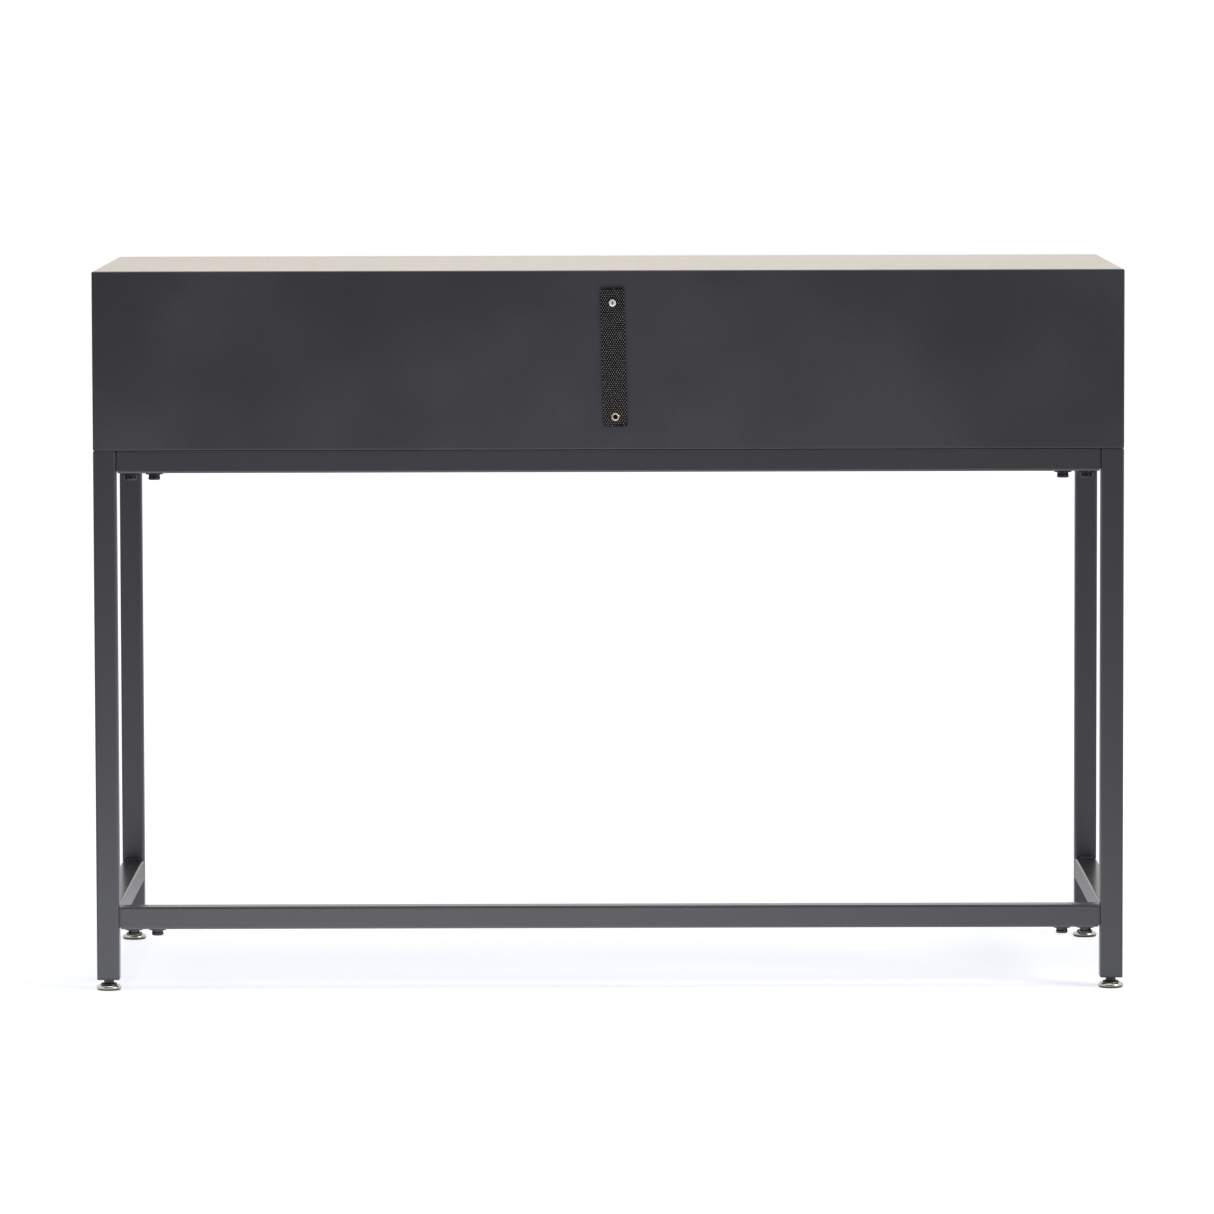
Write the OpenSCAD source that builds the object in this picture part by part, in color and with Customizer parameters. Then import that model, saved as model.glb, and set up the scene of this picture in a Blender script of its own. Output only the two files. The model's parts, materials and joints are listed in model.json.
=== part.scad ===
// Writing desk: a shallow case with two drawers on a bolted square-tube steel frame.
// Millimetres. +Z is up, the drawers open towards -Y, and the origin is on the floor
// under the middle of the whole desk, pulls and strap included.

/* [Overall] */
// Width over the case and over the legs
desk_w = 1087; // [960:1:1250]
// Depth from the drawer fronts to the back face
desk_d = 457; // [440:1:520]
// Height of the desktop above the floor
desk_h = 762; // [700:1:820]
// Height of the drawer case, top and bottom panels included
case_h = 188.5; // [180:0.5:220]

/* [Panels] */
// Thickness of the desktop
top_t = 18; // [16:0.5:22]
// Thickness of the case's bottom panel
bottom_t = 15; // [15:0.5:19]
// Thickness of the case's two side panels
side_t = 15; // [15:0.5:19]
// Thickness of the partition between the drawers
partition_t = 15; // [15:0.5:22]
// Thickness of the back panel
back_t = 12; // [12:0.5:18]
// Radius of the eased panel edges
ease = 1.5; // [0.5:0.1:2.5]

/* [Frame tubes] */
// Outer width of the square tube
tube = 24; // [22:0.5:28]
// Wall of the square tube
tube_wall = 1.5; // [1.2:0.1:1.8]
// Outer corner radius of the square tube
tube_round = 2.5; // [2.1:0.1:3.2]
// Thickness of the cap welded in the top of each leg
leg_cap_t = 2.5; // [2:0.5:4]
// Rounding of the top edges of each leg
cap_round = 2; // [0.5:0.1:2.1]
// Height of the lower rails' undersides above the floor
lower_rail_z = 65.5; // [50:0.5:150]
// Open joint between the end of a bolted rail and the leg
rail_gap = 1.8; // [0.5:0.1:2.5]

/* [Rail joints] */
// Length of the stub that is welded to a leg and enters a rail
stub_l = 55; // [50:1:80]
// Wall of the stub, which is tapped for the bolts
stub_wall = 3; // [2:0.5:4]
// Thread diameter of the frame bolts
bolt_d = 6; // [5:0.5:6.5]
// Distance from the leg to the first bolt
bolt_inset = 15; // [13:0.5:20]
// Distance between the two bolts of a joint
bolt_pitch = 25; // [20:0.5:28]
// How far a bolt passes the stub's wall
bolt_past = 4; // [1:0.5:6]
// Diameter of a bolt's head
bolt_head_d = 12.6; // [11:0.1:14]
// Height of a bolt's head
bolt_head_h = 3.8; // [3.2:0.1:5]
// Rounding of a bolt's head
head_round = 1.5; // [0.5:0.1:1.5]
// Width across the flats of the hexagon socket
socket_af = 4; // [3:0.5:5]
// Depth of the hexagon socket
socket_depth = 2.2; // [1:0.1:2.5]
// Diameter of the flat washers
washer_d = 18.5; // [15:0.5:19]
// Thickness of the flat washers
washer_t = 1.5; // [1:0.1:2]
// Outer diameter of the spring washers
spring_d = 12; // [10.5:0.1:13]
// Thickness of the spring washers
spring_t = 2.2; // [1.2:0.1:3]
// Width of the spring washers' split
spring_split = 1; // [0.5:0.1:2]

/* [Feet] */
// Height of a leg's bottom above the floor with its glide screwed home
foot_h = 11.5; // [11:0.5:16]
// Thickness of the flange on a leg's end plug
plug_flange_t = 2; // [1.5:0.5:3]
// Length of the plug inside the leg
plug_l = 20; // [15:1:30]
// Rounding of the plug's flange and of the glide's collar
plug_round = 1.4; // [0.5:0.1:1.4]
// Diameter of the glide's threaded stem
stem_d = 8; // [6:0.5:8.5]
// How far the stem passes the plug's inner end
stem_past = 10; // [5:1:20]
// Diameter of the neck under the leg
neck_d = 10.6; // [9.5:0.1:12]
// Diameter of the moulded collar in the cup
collar_d = 17.6; // [16:0.1:19]
// Height of the collar's shoulder above the floor
collar_z = 7.4; // [7:0.1:8]
// Widest diameter of the plated cup
cup_d = 26.9; // [24:0.1:30]
// Radius between the cup's base and its widest point
cup_round = 4; // [3:0.1:4.2]
// Radius of the cup's rolled rim
rim_round = 0.8; // [0.5:0.1:1]
// Thickness of the cup's base
cup_t = 1.2; // [0.8:0.1:1.5]
// Height of the cup's inner lip
lip_z = 5.6; // [5.3:0.1:6]

/* [Anti-tip strap] */
// Width of the webbing
strap_w = 25; // [20:1:30]
// Length of the webbing
strap_l = 145; // [110:1:150]
// Thickness of the webbing
strap_t = 1.6; // [1.2:0.1:2.5]
// Distance from the desktop down to the strap's screw
strap_screw_drop = 34; // [30:1:45]
// Place of the strap's screw across the desk
strap_x = -4.5; // [-5:0.5:5]
// Lean of the strap from plumb, in degrees
strap_tilt = 1.35; // [-5:0.05:5]
// Gap between the back panel and the webbing
strap_lift = 0.6; // [0.5:0.1:1]
// Distance from the webbing's upper end to its screw
strap_screw_inset = 15; // [10:1:20]
// Distance from the webbing's lower end to the eyelet
eyelet_inset = 10; // [8:1:20]
// Outer diameter of the eyelet
eyelet_d = 8.2; // [7.5:0.1:10]
// Outer diameter of the eyelet's rolled back flange
eyelet_roll_d = 7.2; // [6.5:0.1:9]
// Bore of the eyelet, which takes the wall screw
eyelet_bore_d = 4.4; // [3.5:0.1:5]
// Thickness of the eyelet's front flange
eyelet_flange_t = 0.5; // [0.3:0.05:0.8]
// Thickness of the eyelet's rolled back flange
eyelet_roll_t = 0.35; // [0.2:0.05:0.4]
// Wall of the eyelet's barrel
eyelet_wall = 0.5; // [0.3:0.05:0.6]
// Diameter of the strap screw's head
strap_head_d = 7.4; // [7:0.1:9]
// Height of the strap screw's head
strap_head_h = 2.2; // [2:0.1:3]
// Thread diameter of the strap screw
strap_screw_d = 4; // [3.5:0.1:4.5]
// Length of the strap screw below its head
strap_screw_l = 30; // [24:1:35]

/* [Drawers] */
// Thickness of a drawer front
front_t = 15; // [14:0.5:19]
// Gap all round a drawer front
front_gap = 2; // [1.5:0.1:3]
// Thickness of a drawer box's sides and back
box_t = 12; // [12:0.5:15]
// Height of a drawer box
box_h = 110; // [80:1:115]
// Height of a drawer box above the case's bottom panel
box_lift = 15; // [10:1:20]
// Gap between the drawer boxes and the back panel
box_rear_gap = 25; // [15:1:45]
// Thickness of a drawer's bottom
drawer_bottom_t = 5; // [4:0.5:6]
// Depth of the grooves that hold the drawer's parts
groove = 6; // [4:0.5:7]
// Distance from the back of a drawer box to the rear end of its sides
box_back_inset = 10; // [5:1:20]
// Height of the bottom's groove above the lower edge of the box
groove_rise = 8; // [6:0.5:12]

/* [Drawer pulls] */
// Length of a pull's bar
pull_l = 160; // [140:1:200]
// Distance between the two posts of a pull
pull_pitch = 128; // [96:1:128]
// Diameter of a pull's bar
pull_d = 11; // [9:0.5:14]
// Rounding of the bar's ends
pull_end_round = 2; // [0.5:0.1:4]
// Diameter of a pull's posts
post_d = 9; // [8:0.5:9]
// Diameter of the foot of a post
post_foot_d = 15; // [13:0.5:18]
// Thickness of the foot of a post
post_foot_t = 2.5; // [2:0.5:4]
// Distance from a drawer front to the outside of its pull
pull_reach = 32; // [30:0.5:40]
// Thread diameter of the pulls' screws
pull_screw_d = 4; // [3:0.5:5]
// How far a pull's screw enters its post
pull_screw_bite = 12; // [8:0.5:16]
// Head diameter of the pulls' screws
pull_head_d = 8; // [7:0.5:9]
// Head height of the pulls' screws
pull_head_h = 2.6; // [2.2:0.1:3]

/* [Drawer slides] */
// Gap that a slide fills between the case and a drawer box
slide_t = 12.7; // [12.5:0.1:14]
// Height of a slide's outer member
slide_h = 35; // [33:0.5:40]
// Thickness of the slides' steel
slide_gauge = 1.2; // [1:0.1:1.2]
// Depth of the outer member's channel
channel_depth = 9.2; // [9:0.1:9.6]
// Height of the lips that keep the balls in
slide_lip = 1.9; // [1:0.1:2.1]
// Diameter of the balls
ball_d = 4; // [3.6:0.1:4]
// Distance between the balls in a cage
ball_pitch = 20; // [18:1:22]
// Number of balls in each row of a cage
ball_count = 5; // [3:1:5]
// Thickness of the ball cage
cage_t = 0.7; // [0.5:0.1:0.8]
// Length of the ball cage
cage_l = 100; // [96:1:105]
// Distance from a slide's front end to its closed ball cage
cage_start = 150; // [148:1:170]
// Thread diameter of the slides' screws
slide_screw_d = 3.5; // [3:0.1:4]
// Head diameter of the slides' countersunk screws
slide_head_d = 6.4; // [6:0.1:7]
// How far a slide's screw enters the wood
slide_screw_bite = 6; // [4:0.5:6.5]
// Distance from a drawer front to the front ends of its slides
slide_setback = 2; // [1:0.5:4]
// Distance from the slides' rear ends to the rear end of the drawer box
slide_rear_gap = 3; // [1:0.5:10]
// Distance from a slide's ends to its end screws
slide_screw_inset = 35; // [20:1:60]

/* [Case fittings] */
// Diameter of the dowels
dowel_d = 8; // [6:0.5:8]
// Depth of a dowel in the face of a panel
dowel_in_face = 9; // [7:0.5:9.5]
// Depth of a dowel in the edge of a panel
dowel_in_edge = 20; // [15:1:25]
// Distance from a panel's front and rear ends to its dowels
dowel_inset = 60; // [45:1:70]
// Distance from a joint to the dowels of the back panel
back_dowel_inset = 45; // [40:1:50]
// Spacing of the back panel's dowels along the top and bottom panels
back_dowel_pitch = 180; // [120:5:200]
// Diameter of the cam locks
cam_d = 15; // [12:0.5:15]
// Depth of the cam locks
cam_depth = 12; // [11:0.5:12.5]
// Width of the cross slot in a cam lock
cam_slot_w = 8; // [6:0.5:10]
// Thickness of the cross slot in a cam lock
cam_slot_t = 1.2; // [0.8:0.1:1.6]
// Depth of the cross slot in a cam lock
cam_slot_depth = 1.5; // [1:0.1:2]
// Distance from a joint to the middle of its cam locks
cam_reach = 24; // [20:1:30]
// Distance from a panel's front and rear ends to its cam locks
cam_inset = 95; // [85:1:120]
// Thread diameter of the cam bolts
cam_bolt_d = 6; // [5:0.5:6]
// Neck diameter of the cam bolts
cam_neck_d = 4.5; // [4:0.5:5]
// Head diameter of the cam bolts
cam_bolt_head_d = 7; // [6.5:0.5:7.5]
// Head height of the cam bolts
cam_head_h = 3; // [2:0.5:4]
// Depth of a cam bolt in the face of a panel
cam_bolt_bite = 11; // [8:0.5:12]
// Thread diameter of the screws that hold the case on the frame
case_screw_d = 5; // [4:0.5:5.5]
// Head diameter of the case screws
case_screw_head_d = 10; // [9:0.5:12]
// Head height of the case screws
case_screw_head_h = 3; // [2:0.5:4]
// How far the case screws enter the bottom panel
case_screw_bite = 10; // [6:0.5:11]
// Distance between the two case screws of a side rail
case_screw_pitch = 220; // [180:5:260]
// Distance between the two case screws of the front rail
front_screw_pitch = 500; // [300:10:700]

/* [Clearances] */
// Gap around a fixed piece in its seat
fit_gap = 0.1; // [0.05:0.01:0.2]
// Radial gap around a piece that turns or slides
run_gap = 0.08; // [0.05:0.01:0.1]
// Radial gap around a thread
thread_gap = 0.05; // [0.02:0.01:0.08]
// Gap between a rail and the stub inside it
stub_gap = 0.25; // [0.1:0.05:0.4]
// Radial gap around a bolt in a plain hole
bolt_gap = 0.3; // [0.2:0.05:0.5]
// Gap at the end of a drilled hole or stop
end_gap = 0.2; // [0.1:0.05:0.5]
// Gap between a ball cage and the slide's two members
cage_gap = 0.35; // [0.25:0.05:0.4]

/* [Hidden] */

// Sides of the desk, as the user sits at it
LEFT = -1;
RIGHT = 1;
FRONT = -1;
BACK = 1;

// How far the strap's screw stands behind the back face
strap_out = strap_lift + strap_t + end_gap + strap_head_h;
// The case is set back so that the whole desk is centred on the origin
case_y = (pull_reach - strap_out) / 2;
half_w = desk_w / 2;
y_front = case_y - desk_d / 2;
y_back = case_y + desk_d / 2;
panel_d = desk_d - back_t;
y_rear = y_front + panel_d;

// Heights of the case's joints
case_z = desk_h - case_h;
floor_z = case_z + bottom_t;
ceiling_z = desk_h - top_t;
inner_h = ceiling_z - floor_z;

// Frame: tube centres, rail heights and the tubes' free lengths
leg_x = half_w - tube / 2;
leg_z = foot_h + plug_flange_t;
top_rail_z = case_z - tube;
tube_bore = tube - 2 * tube_wall;
bore_round = tube_round - tube_wall;
side_rail_l = desk_d - 2 * tube;
cross_rail_l = desk_w - 2 * (tube + rail_gap);
stub = tube_bore - 2 * stub_gap;
// The three bolted rails: end of the desk and height of the underside
bolted_rails = [[BACK, top_rail_z], [BACK, lower_rail_z], [FRONT, top_rail_z]];

// Drawers: each opening, its drawer box and its slides
opening_w = (desk_w - 2 * side_t - partition_t) / 2;
opening_x = (partition_t + opening_w) / 2;
box_w = opening_w - 2 * slide_t;
box_z = floor_z + box_lift;
box_y = y_front + front_t;
box_l = y_rear - box_rear_gap - box_y;
box_back_y = box_y + box_l - box_back_inset - box_t;
slide_z = box_z + box_h / 2;
pull_z = (floor_z + ceiling_z) / 2;
pull_bar_y = y_front - pull_reach + pull_d / 2;

// Slide section, measured from the case's wall and from the slide's mid-height
inner_slide_h = slide_h - 2 * slide_gauge - 2 * (ball_d + 2 * fit_gap);
ball_v = (inner_slide_h + ball_d) / 2 + fit_gap;
slide_l = box_l - slide_setback - slide_rear_gap;
cage_u = slide_gauge + cage_gap;
inner_slide_u = cage_u + cage_t + cage_gap;
ball_u = inner_slide_u + ball_d / 2 + fit_gap;
cage_reach = channel_depth - slide_gauge - cage_gap;
slide_screw_ys = [slide_screw_inset, slide_l / 2, slide_l - slide_screw_inset];

smooth = 48;
fine = 24;
// How far a cut runs past the face that it opens, or a piece into the one it joins
over = 1;

PALE_WOOD = [0.85, 0.82, 0.78];
CHARCOAL = [0.24, 0.24, 0.26];
BIRCH = [0.84, 0.74, 0.58];
BEECH = [0.80, 0.68, 0.50];
BLACK_STEEL = [0.16, 0.16, 0.17];
BLACK_PLASTIC = [0.10, 0.10, 0.11];
BLACK_WEBBING = [0.08, 0.08, 0.08];
ZINC = [0.72, 0.73, 0.75];
NICKEL = [0.80, 0.79, 0.76];
BRASS = [0.80, 0.62, 0.32];

// ---- Shapes that several pieces share ----

function spread(count, pitch) = [for (i = [0 : count - 1]) (i - (count - 1) / 2) * pitch];

function arc(cx, cy, r, from, to, steps) =
  [for (i = [0 : steps]) let (a = from + (to - from) * i / steps) [cx + r * cos(a), cy + r * sin(a)]];

// A rectangle with round corners, from the origin
module round_rect(w, h, r) {
  translate([r, 0]) square([w - 2 * r, h]);
  translate([0, r]) square([w, h - 2 * r]);
  for (x = [r, w - r], y = [r, h - r])
    translate([x, y]) circle(r = r, $fn = fine);
}

// A round-cornered square about the origin
module square_bar(w, r) translate([-w / 2, -w / 2]) round_rect(w, w, r);

// A box from the origin with every edge eased
module eased_box(w, d, h, r) {
  intersection() {
    linear_extrude(h) round_rect(w, d, r);
    translate([0, d, 0]) rotate([90, 0, 0]) linear_extrude(d) round_rect(w, h, r);
    rotate([90, 0, 90]) linear_extrude(w) round_rect(d, h, r);
  }
}

// A round bar along Z
module rod(d, from, to) translate([0, 0, from]) cylinder(d = d, h = to - from, $fn = smooth);

// A disc on the origin with rounded edges
module button(d, h, r) {
  rotate_extrude($fn = smooth) intersection() {
    translate([-d / 2, 0]) round_rect(d, h, r);
    square([d, h]);
  }
}

// A cross-shaped recess, cut upwards into a surface at the origin
module cross_slot(w, slot, depth) {
  for (turn = [0, 90])
    rotate([0, 0, turn]) translate([-w / 2, -slot / 2, -depth]) cube([w, slot, 2 * depth]);
}

// The rounding of a head or flange of height h, a little less than a full half round
function edge_round(h) = h / 2.2;

// The recess for a cross-head driver in a screw's head, in proportion to the head
module driver_recess(head_d) cross_slot(0.56 * head_d, 0.12 * head_d, 0.15 * head_d);

// Lays a shape that points up along X or along Y, or turns it to point down
module along_x() rotate([90, 0, 90]) children();
module along_y() rotate([-90, 0, 0]) children();
module upward(dir) rotate([dir < 0 ? 180 : 0, 0, 0]) children();

// ---- Case joinery: every dowel, cam lock and cam bolt, and the holes for them ----

// Joints of the upright panels: middle of the panel across the desk, height of the joint,
// and 1 where the panel stands on the joint or -1 where it hangs below it
upright_x = [-half_w + side_t / 2, 0, half_w - side_t / 2];
upright_joints = [for (x = upright_x, end = [[floor_z, 1], [ceiling_z, -1]]) [x, end[0], end[1]]];
dowel_ys = [y_front + dowel_inset, (y_front + y_rear) / 2, y_rear - dowel_inset];
cam_ys = [y_front + cam_inset, y_rear - cam_inset];

// Places of the back panel's dowels across the desk and in height
edge_dowels = 2 * floor((half_w - side_t) / back_dowel_pitch - 0.25);
back_dowels = concat(
  [for (x = upright_x, z = [floor_z + back_dowel_inset, ceiling_z - back_dowel_inset]) [x, z]],
  [for (x = spread(edge_dowels, back_dowel_pitch), z = [case_z + bottom_t / 2, desk_h - top_t / 2])
    [x, z]]);

module dowels(gap, past) {
  for (j = upright_joints, y = dowel_ys)
    translate([j[0], y, j[1]]) upward(j[2])
      rod(dowel_d + 2 * gap, -dowel_in_face - past, dowel_in_edge + past);
  for (d = back_dowels)
    translate([d[0], y_rear, d[1]]) along_y()
      rod(dowel_d + 2 * gap, -dowel_in_edge - past, dowel_in_face + past);
}

// Cam locks are let into the inner faces of the side panels and the left face of the partition
function cam_face(x) = x < 0 ? x + side_t / 2 : x > 0 ? x - side_t / 2 : -partition_t / 2;

module at_cams() {
  for (j = upright_joints, y = cam_ys)
    translate([cam_face(j[0]), y, j[1] + j[2] * cam_reach])
      rotate([0, 0, j[0] < 0 ? 180 : 0]) along_x() children();
}

module at_cam_bolts() {
  for (j = upright_joints, y = cam_ys)
    translate([j[0], y, j[1]]) upward(j[2]) children();
}

// Drilling for the joinery, cut from every panel that it reaches
module joinery_holes() {
  dowels(fit_gap, end_gap);
  at_cams() rod(cam_d + 2 * fit_gap, -over, cam_depth + end_gap);
  at_cam_bolts() {
    rod(cam_bolt_d + 2 * thread_gap, -cam_bolt_bite - end_gap, over);
    rod(cam_bolt_head_d + 2 * fit_gap, 0, cam_reach);
  }
}

module at_strap_screw() {
  translate([strap_x, y_back, desk_h - strap_screw_drop]) along_y() children();
}

module strap_screw_hole() {
  at_strap_screw() rod(strap_screw_d + 2 * thread_gap, -strap_screw_l - end_gap, over);
}

// ---- Case panels ----

module top_panel() {
  color(PALE_WOOD) difference() {
    translate([-half_w, y_front, ceiling_z]) eased_box(desk_w, panel_d, top_t, ease);
    joinery_holes();
  }
}

module bottom_panel() {
  color(CHARCOAL) difference() {
    translate([-half_w, y_front, case_z]) eased_box(desk_w, panel_d, bottom_t, ease);
    joinery_holes();
    at_case_screws() rod(case_screw_d + 2 * thread_gap, tube - over, tube + case_screw_bite + end_gap);
  }
}

module side_panel(side) {
  color(CHARCOAL) difference() {
    translate([side < 0 ? -half_w : half_w - side_t, y_front, floor_z])
      eased_box(side_t, panel_d, inner_h, ease);
    joinery_holes();
    at_slide(side, side) slide_screw_holes();
  }
}

module left_side_panel() side_panel(LEFT);
module right_side_panel() side_panel(RIGHT);

module center_partition() {
  color(CHARCOAL) difference() {
    translate([-partition_t / 2, y_front, floor_z]) eased_box(partition_t, panel_d, inner_h, ease);
    joinery_holes();
    strap_screw_hole();
    at_slide(LEFT, RIGHT) slide_screw_holes();
    at_slide(RIGHT, LEFT) slide_screw_holes();
  }
}

module back_panel() {
  color(CHARCOAL) difference() {
    translate([-half_w, y_rear, case_z]) eased_box(desk_w, back_t, case_h, ease);
    joinery_holes();
    strap_screw_hole();
  }
}

module case_dowels() color(BEECH) dowels(0, 0);

// Discs with a passage for the bolt's neck, a pocket for its head, and a cross slot to turn them
module cam_locks() {
  color(ZINC) difference() {
    at_cams() rod(cam_d, 0, cam_depth);
    at_cams() cross_slot(cam_slot_w, cam_slot_t, cam_slot_depth);
    at_cam_bolts() {
      rod(cam_neck_d + 2 * fit_gap, 0, cam_reach);
      rod(cam_bolt_head_d + 2 * fit_gap, cam_reach - cam_head_h / 2 - fit_gap,
          cam_reach + cam_head_h / 2 + fit_gap);
    }
  }
}

// Bolts that are screwed into the top and bottom panels, each with its head in a cam lock
module cam_bolts() {
  color(ZINC) at_cam_bolts() {
    rod(cam_bolt_d, -cam_bolt_bite, 0);
    rod(cam_neck_d, 0, cam_reach);
    rod(cam_bolt_head_d, cam_reach - cam_head_h / 2, cam_reach + cam_head_h / 2);
  }
}

// ---- Frame: legs and rails ----

// A square bar along Z, as wide as the tube, with the edges of its upper end rounded
module capped_bar(l, end_round) {
  intersection() {
    linear_extrude(l) square_bar(tube, tube_round);
    from_side_and_front() translate([-tube / 2, -end_round]) round_rect(tube, l + end_round, end_round);
  }
}

// The space that both an outline's extrusion along Y and its extrusion along X hold
module from_side_and_front() {
  intersection() {
    rotate([90, 0, 0]) linear_extrude(tube, center = true) children();
    rotate([90, 0, 90]) linear_extrude(tube, center = true) children();
  }
}

module square_tube(l) {
  linear_extrude(l) difference() {
    square_bar(tube, tube_round);
    square_bar(tube_bore, bore_round);
  }
}

// Middle of the legs and cross rails at the front or the back
function end_y(end) = end < 0 ? y_front + tube / 2 : y_back - tube / 2;

module at_leg(end, side) translate([side * leg_x, end_y(end), leg_z]) children();

// A tube with a cap welded in its top, open below for its plug
module leg(end, side) {
  color(BLACK_STEEL) at_leg(end, side) difference() {
    capped_bar(case_z - leg_z, cap_round);
    translate([0, 0, -over]) linear_extrude(case_z - leg_z - leg_cap_t + over)
      square_bar(tube_bore, bore_round);
  }
}

module front_left_leg() leg(FRONT, LEFT);
module front_right_leg() leg(FRONT, RIGHT);
module back_left_leg() leg(BACK, LEFT);
module back_right_leg() leg(BACK, RIGHT);

// A side rail runs from leg to leg and is welded to both
module side_rail(side, z) {
  color(BLACK_STEEL) difference() {
    translate([side * leg_x, y_front + tube, z + tube / 2]) along_y() square_tube(side_rail_l);
    if (z == top_rail_z)
      at_case_screws() rod(case_screw_d + 2 * bolt_gap, -over, tube + over);
  }
}

module left_top_side_rail() side_rail(LEFT, top_rail_z);
module right_top_side_rail() side_rail(RIGHT, top_rail_z);
module left_lower_side_rail() side_rail(LEFT, lower_rail_z);
module right_lower_side_rail() side_rail(RIGHT, lower_rail_z);

// A cross rail slides over the legs' stubs and is bolted to them from below
module cross_rail(end, z) {
  color(BLACK_STEEL) difference() {
    translate([-cross_rail_l / 2, end_y(end), z + tube / 2]) along_x() square_tube(cross_rail_l);
    at_bolts() rod(bolt_d + 2 * bolt_gap, -over, tube_wall + over);
    if (end == FRONT)
      at_case_screws() rod(case_screw_d + 2 * bolt_gap, -over, tube + over);
  }
}

module back_top_rail() cross_rail(BACK, top_rail_z);
module back_lower_rail() cross_rail(BACK, lower_rail_z);
module front_top_rail() cross_rail(FRONT, top_rail_z);

// Short square tubes that are welded to the legs' inner faces
module rail_stubs() {
  color(BLACK_STEEL) difference() {
    for (r = bolted_rails, side = [LEFT, RIGHT])
      translate([side * (half_w - tube), end_y(r[0]), r[1] + tube / 2])
        rotate([0, 0, side > 0 ? 180 : 0]) along_x() linear_extrude(stub_l) difference() {
          square_bar(stub, bore_round);
          square_bar(stub - 2 * stub_wall, bore_round);
        }
    at_bolts() rod(bolt_d + 2 * thread_gap, 0, tube_wall + stub_gap + stub_wall + over);
  }
}

// ---- Frame fasteners ----

// At every frame bolt, with Z up from the underside of its rail
module at_bolts() {
  for (r = bolted_rails, side = [LEFT, RIGHT], step = [0, bolt_pitch])
    translate([side * (half_w - tube - bolt_inset - step), end_y(r[0]), r[1]]) children();
}

module frame_bolts() {
  color(BLACK_STEEL) at_bolts() difference() {
    union() {
      rod(bolt_d, -washer_t - spring_t, tube_wall + stub_gap + stub_wall + bolt_past);
      translate([0, 0, -washer_t - spring_t - bolt_head_h]) button(bolt_head_d, bolt_head_h, head_round);
    }
    translate([0, 0, -washer_t - spring_t - bolt_head_h - over])
      cylinder(d = socket_af / cos(30), h = socket_depth + over, $fn = 6);
  }
}

module flat_washers() {
  color(BLACK_STEEL) at_bolts() difference() {
    rod(washer_d, -washer_t, 0);
    rod(bolt_d + 2 * bolt_gap, -washer_t - over, over);
  }
}

module spring_washers() {
  color(BLACK_STEEL) at_bolts() translate([0, 0, -washer_t - spring_t]) difference() {
    rod(spring_d, 0, spring_t);
    rod(bolt_d + 2 * bolt_gap, -over, spring_t + over);
    translate([0, -spring_split / 2, -over]) cube([spring_d, spring_split, spring_t + 2 * over]);
  }
}

// At every screw that holds the case, with Z up from the underside of its rail
module at_case_screws() {
  for (side = [LEFT, RIGHT], y = spread(2, case_screw_pitch))
    translate([side * leg_x, case_y + y, top_rail_z]) children();
  for (x = spread(2, front_screw_pitch))
    translate([x, end_y(FRONT), top_rail_z]) children();
}

module case_screws() {
  color(ZINC) at_case_screws() difference() {
    union() {
      rod(case_screw_d, -case_screw_head_h / 2, tube + case_screw_bite);
      translate([0, 0, -case_screw_head_h])
        button(case_screw_head_d, case_screw_head_h, edge_round(case_screw_head_h));
    }
    translate([0, 0, -case_screw_head_h]) driver_recess(case_screw_head_d);
  }
}

// ---- Feet ----

// Moulded plugs with a threaded hole, one driven into each leg
module leg_plugs() {
  color(BLACK_PLASTIC) for (end = [FRONT, BACK], side = [LEFT, RIGHT])
    at_leg(end, side) difference() {
      union() {
        upward(-1) capped_bar(plug_flange_t, plug_round);
        translate([0, 0, -plug_flange_t / 2]) linear_extrude(plug_l + plug_flange_t / 2)
          square_bar(tube_bore - 2 * fit_gap, bore_round);
      }
      rod(stem_d + 2 * run_gap, -plug_flange_t - over, plug_l + over);
    }
}

module at_foot(end, side) translate([side * leg_x, end_y(end), 0]) children();

// A threaded stem with a moulded neck and collar at its lower end
module glide_stem(end, side) {
  color(BLACK_PLASTIC) at_foot(end, side) {
    translate([0, 0, cup_t]) button(collar_d - 2 * fit_gap, collar_z - cup_t, plug_round);
    rod(neck_d, collar_z - over, foot_h - end_gap);
    rod(stem_d, collar_z, foot_h + plug_flange_t + plug_l + stem_past);
  }
}

module front_left_glide_stem() glide_stem(FRONT, LEFT);
module front_right_glide_stem() glide_stem(FRONT, RIGHT);
module back_left_glide_stem() glide_stem(BACK, LEFT);
module back_right_glide_stem() glide_stem(BACK, RIGHT);

// A pressed cup with a rolled rim that carries the collar
module glide_cup(end, side) {
  color(NICKEL) at_foot(end, side) difference() {
    rotate_extrude($fn = smooth) polygon(concat(
      [[0, 0]],
      arc(cup_d / 2 - cup_round, cup_round, cup_round, -90, 0, 8),
      arc(cup_d / 2 - rim_round, cup_round, rim_round, 0, 100, 4),
      [[collar_d / 2, lip_z], [0, lip_z]]));
    rod(collar_d, cup_t, lip_z + over);
  }
}

module front_left_glide_cup() glide_cup(FRONT, LEFT);
module front_right_glide_cup() glide_cup(FRONT, RIGHT);
module back_left_glide_cup() glide_cup(BACK, LEFT);
module back_right_glide_cup() glide_cup(BACK, RIGHT);

// ---- Anti-tip strap: it turns about its screw, and its eyelet takes a screw in the wall ----

// Z away from the back panel, with the origin on the panel and the strap's length along Y
module at_strap() {
  translate([strap_x, y_back, desk_h - strap_screw_drop]) rotate([0, strap_tilt, 0])
    along_y() children();
}

eyelet_y = strap_l - strap_screw_inset - eyelet_inset;

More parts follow.
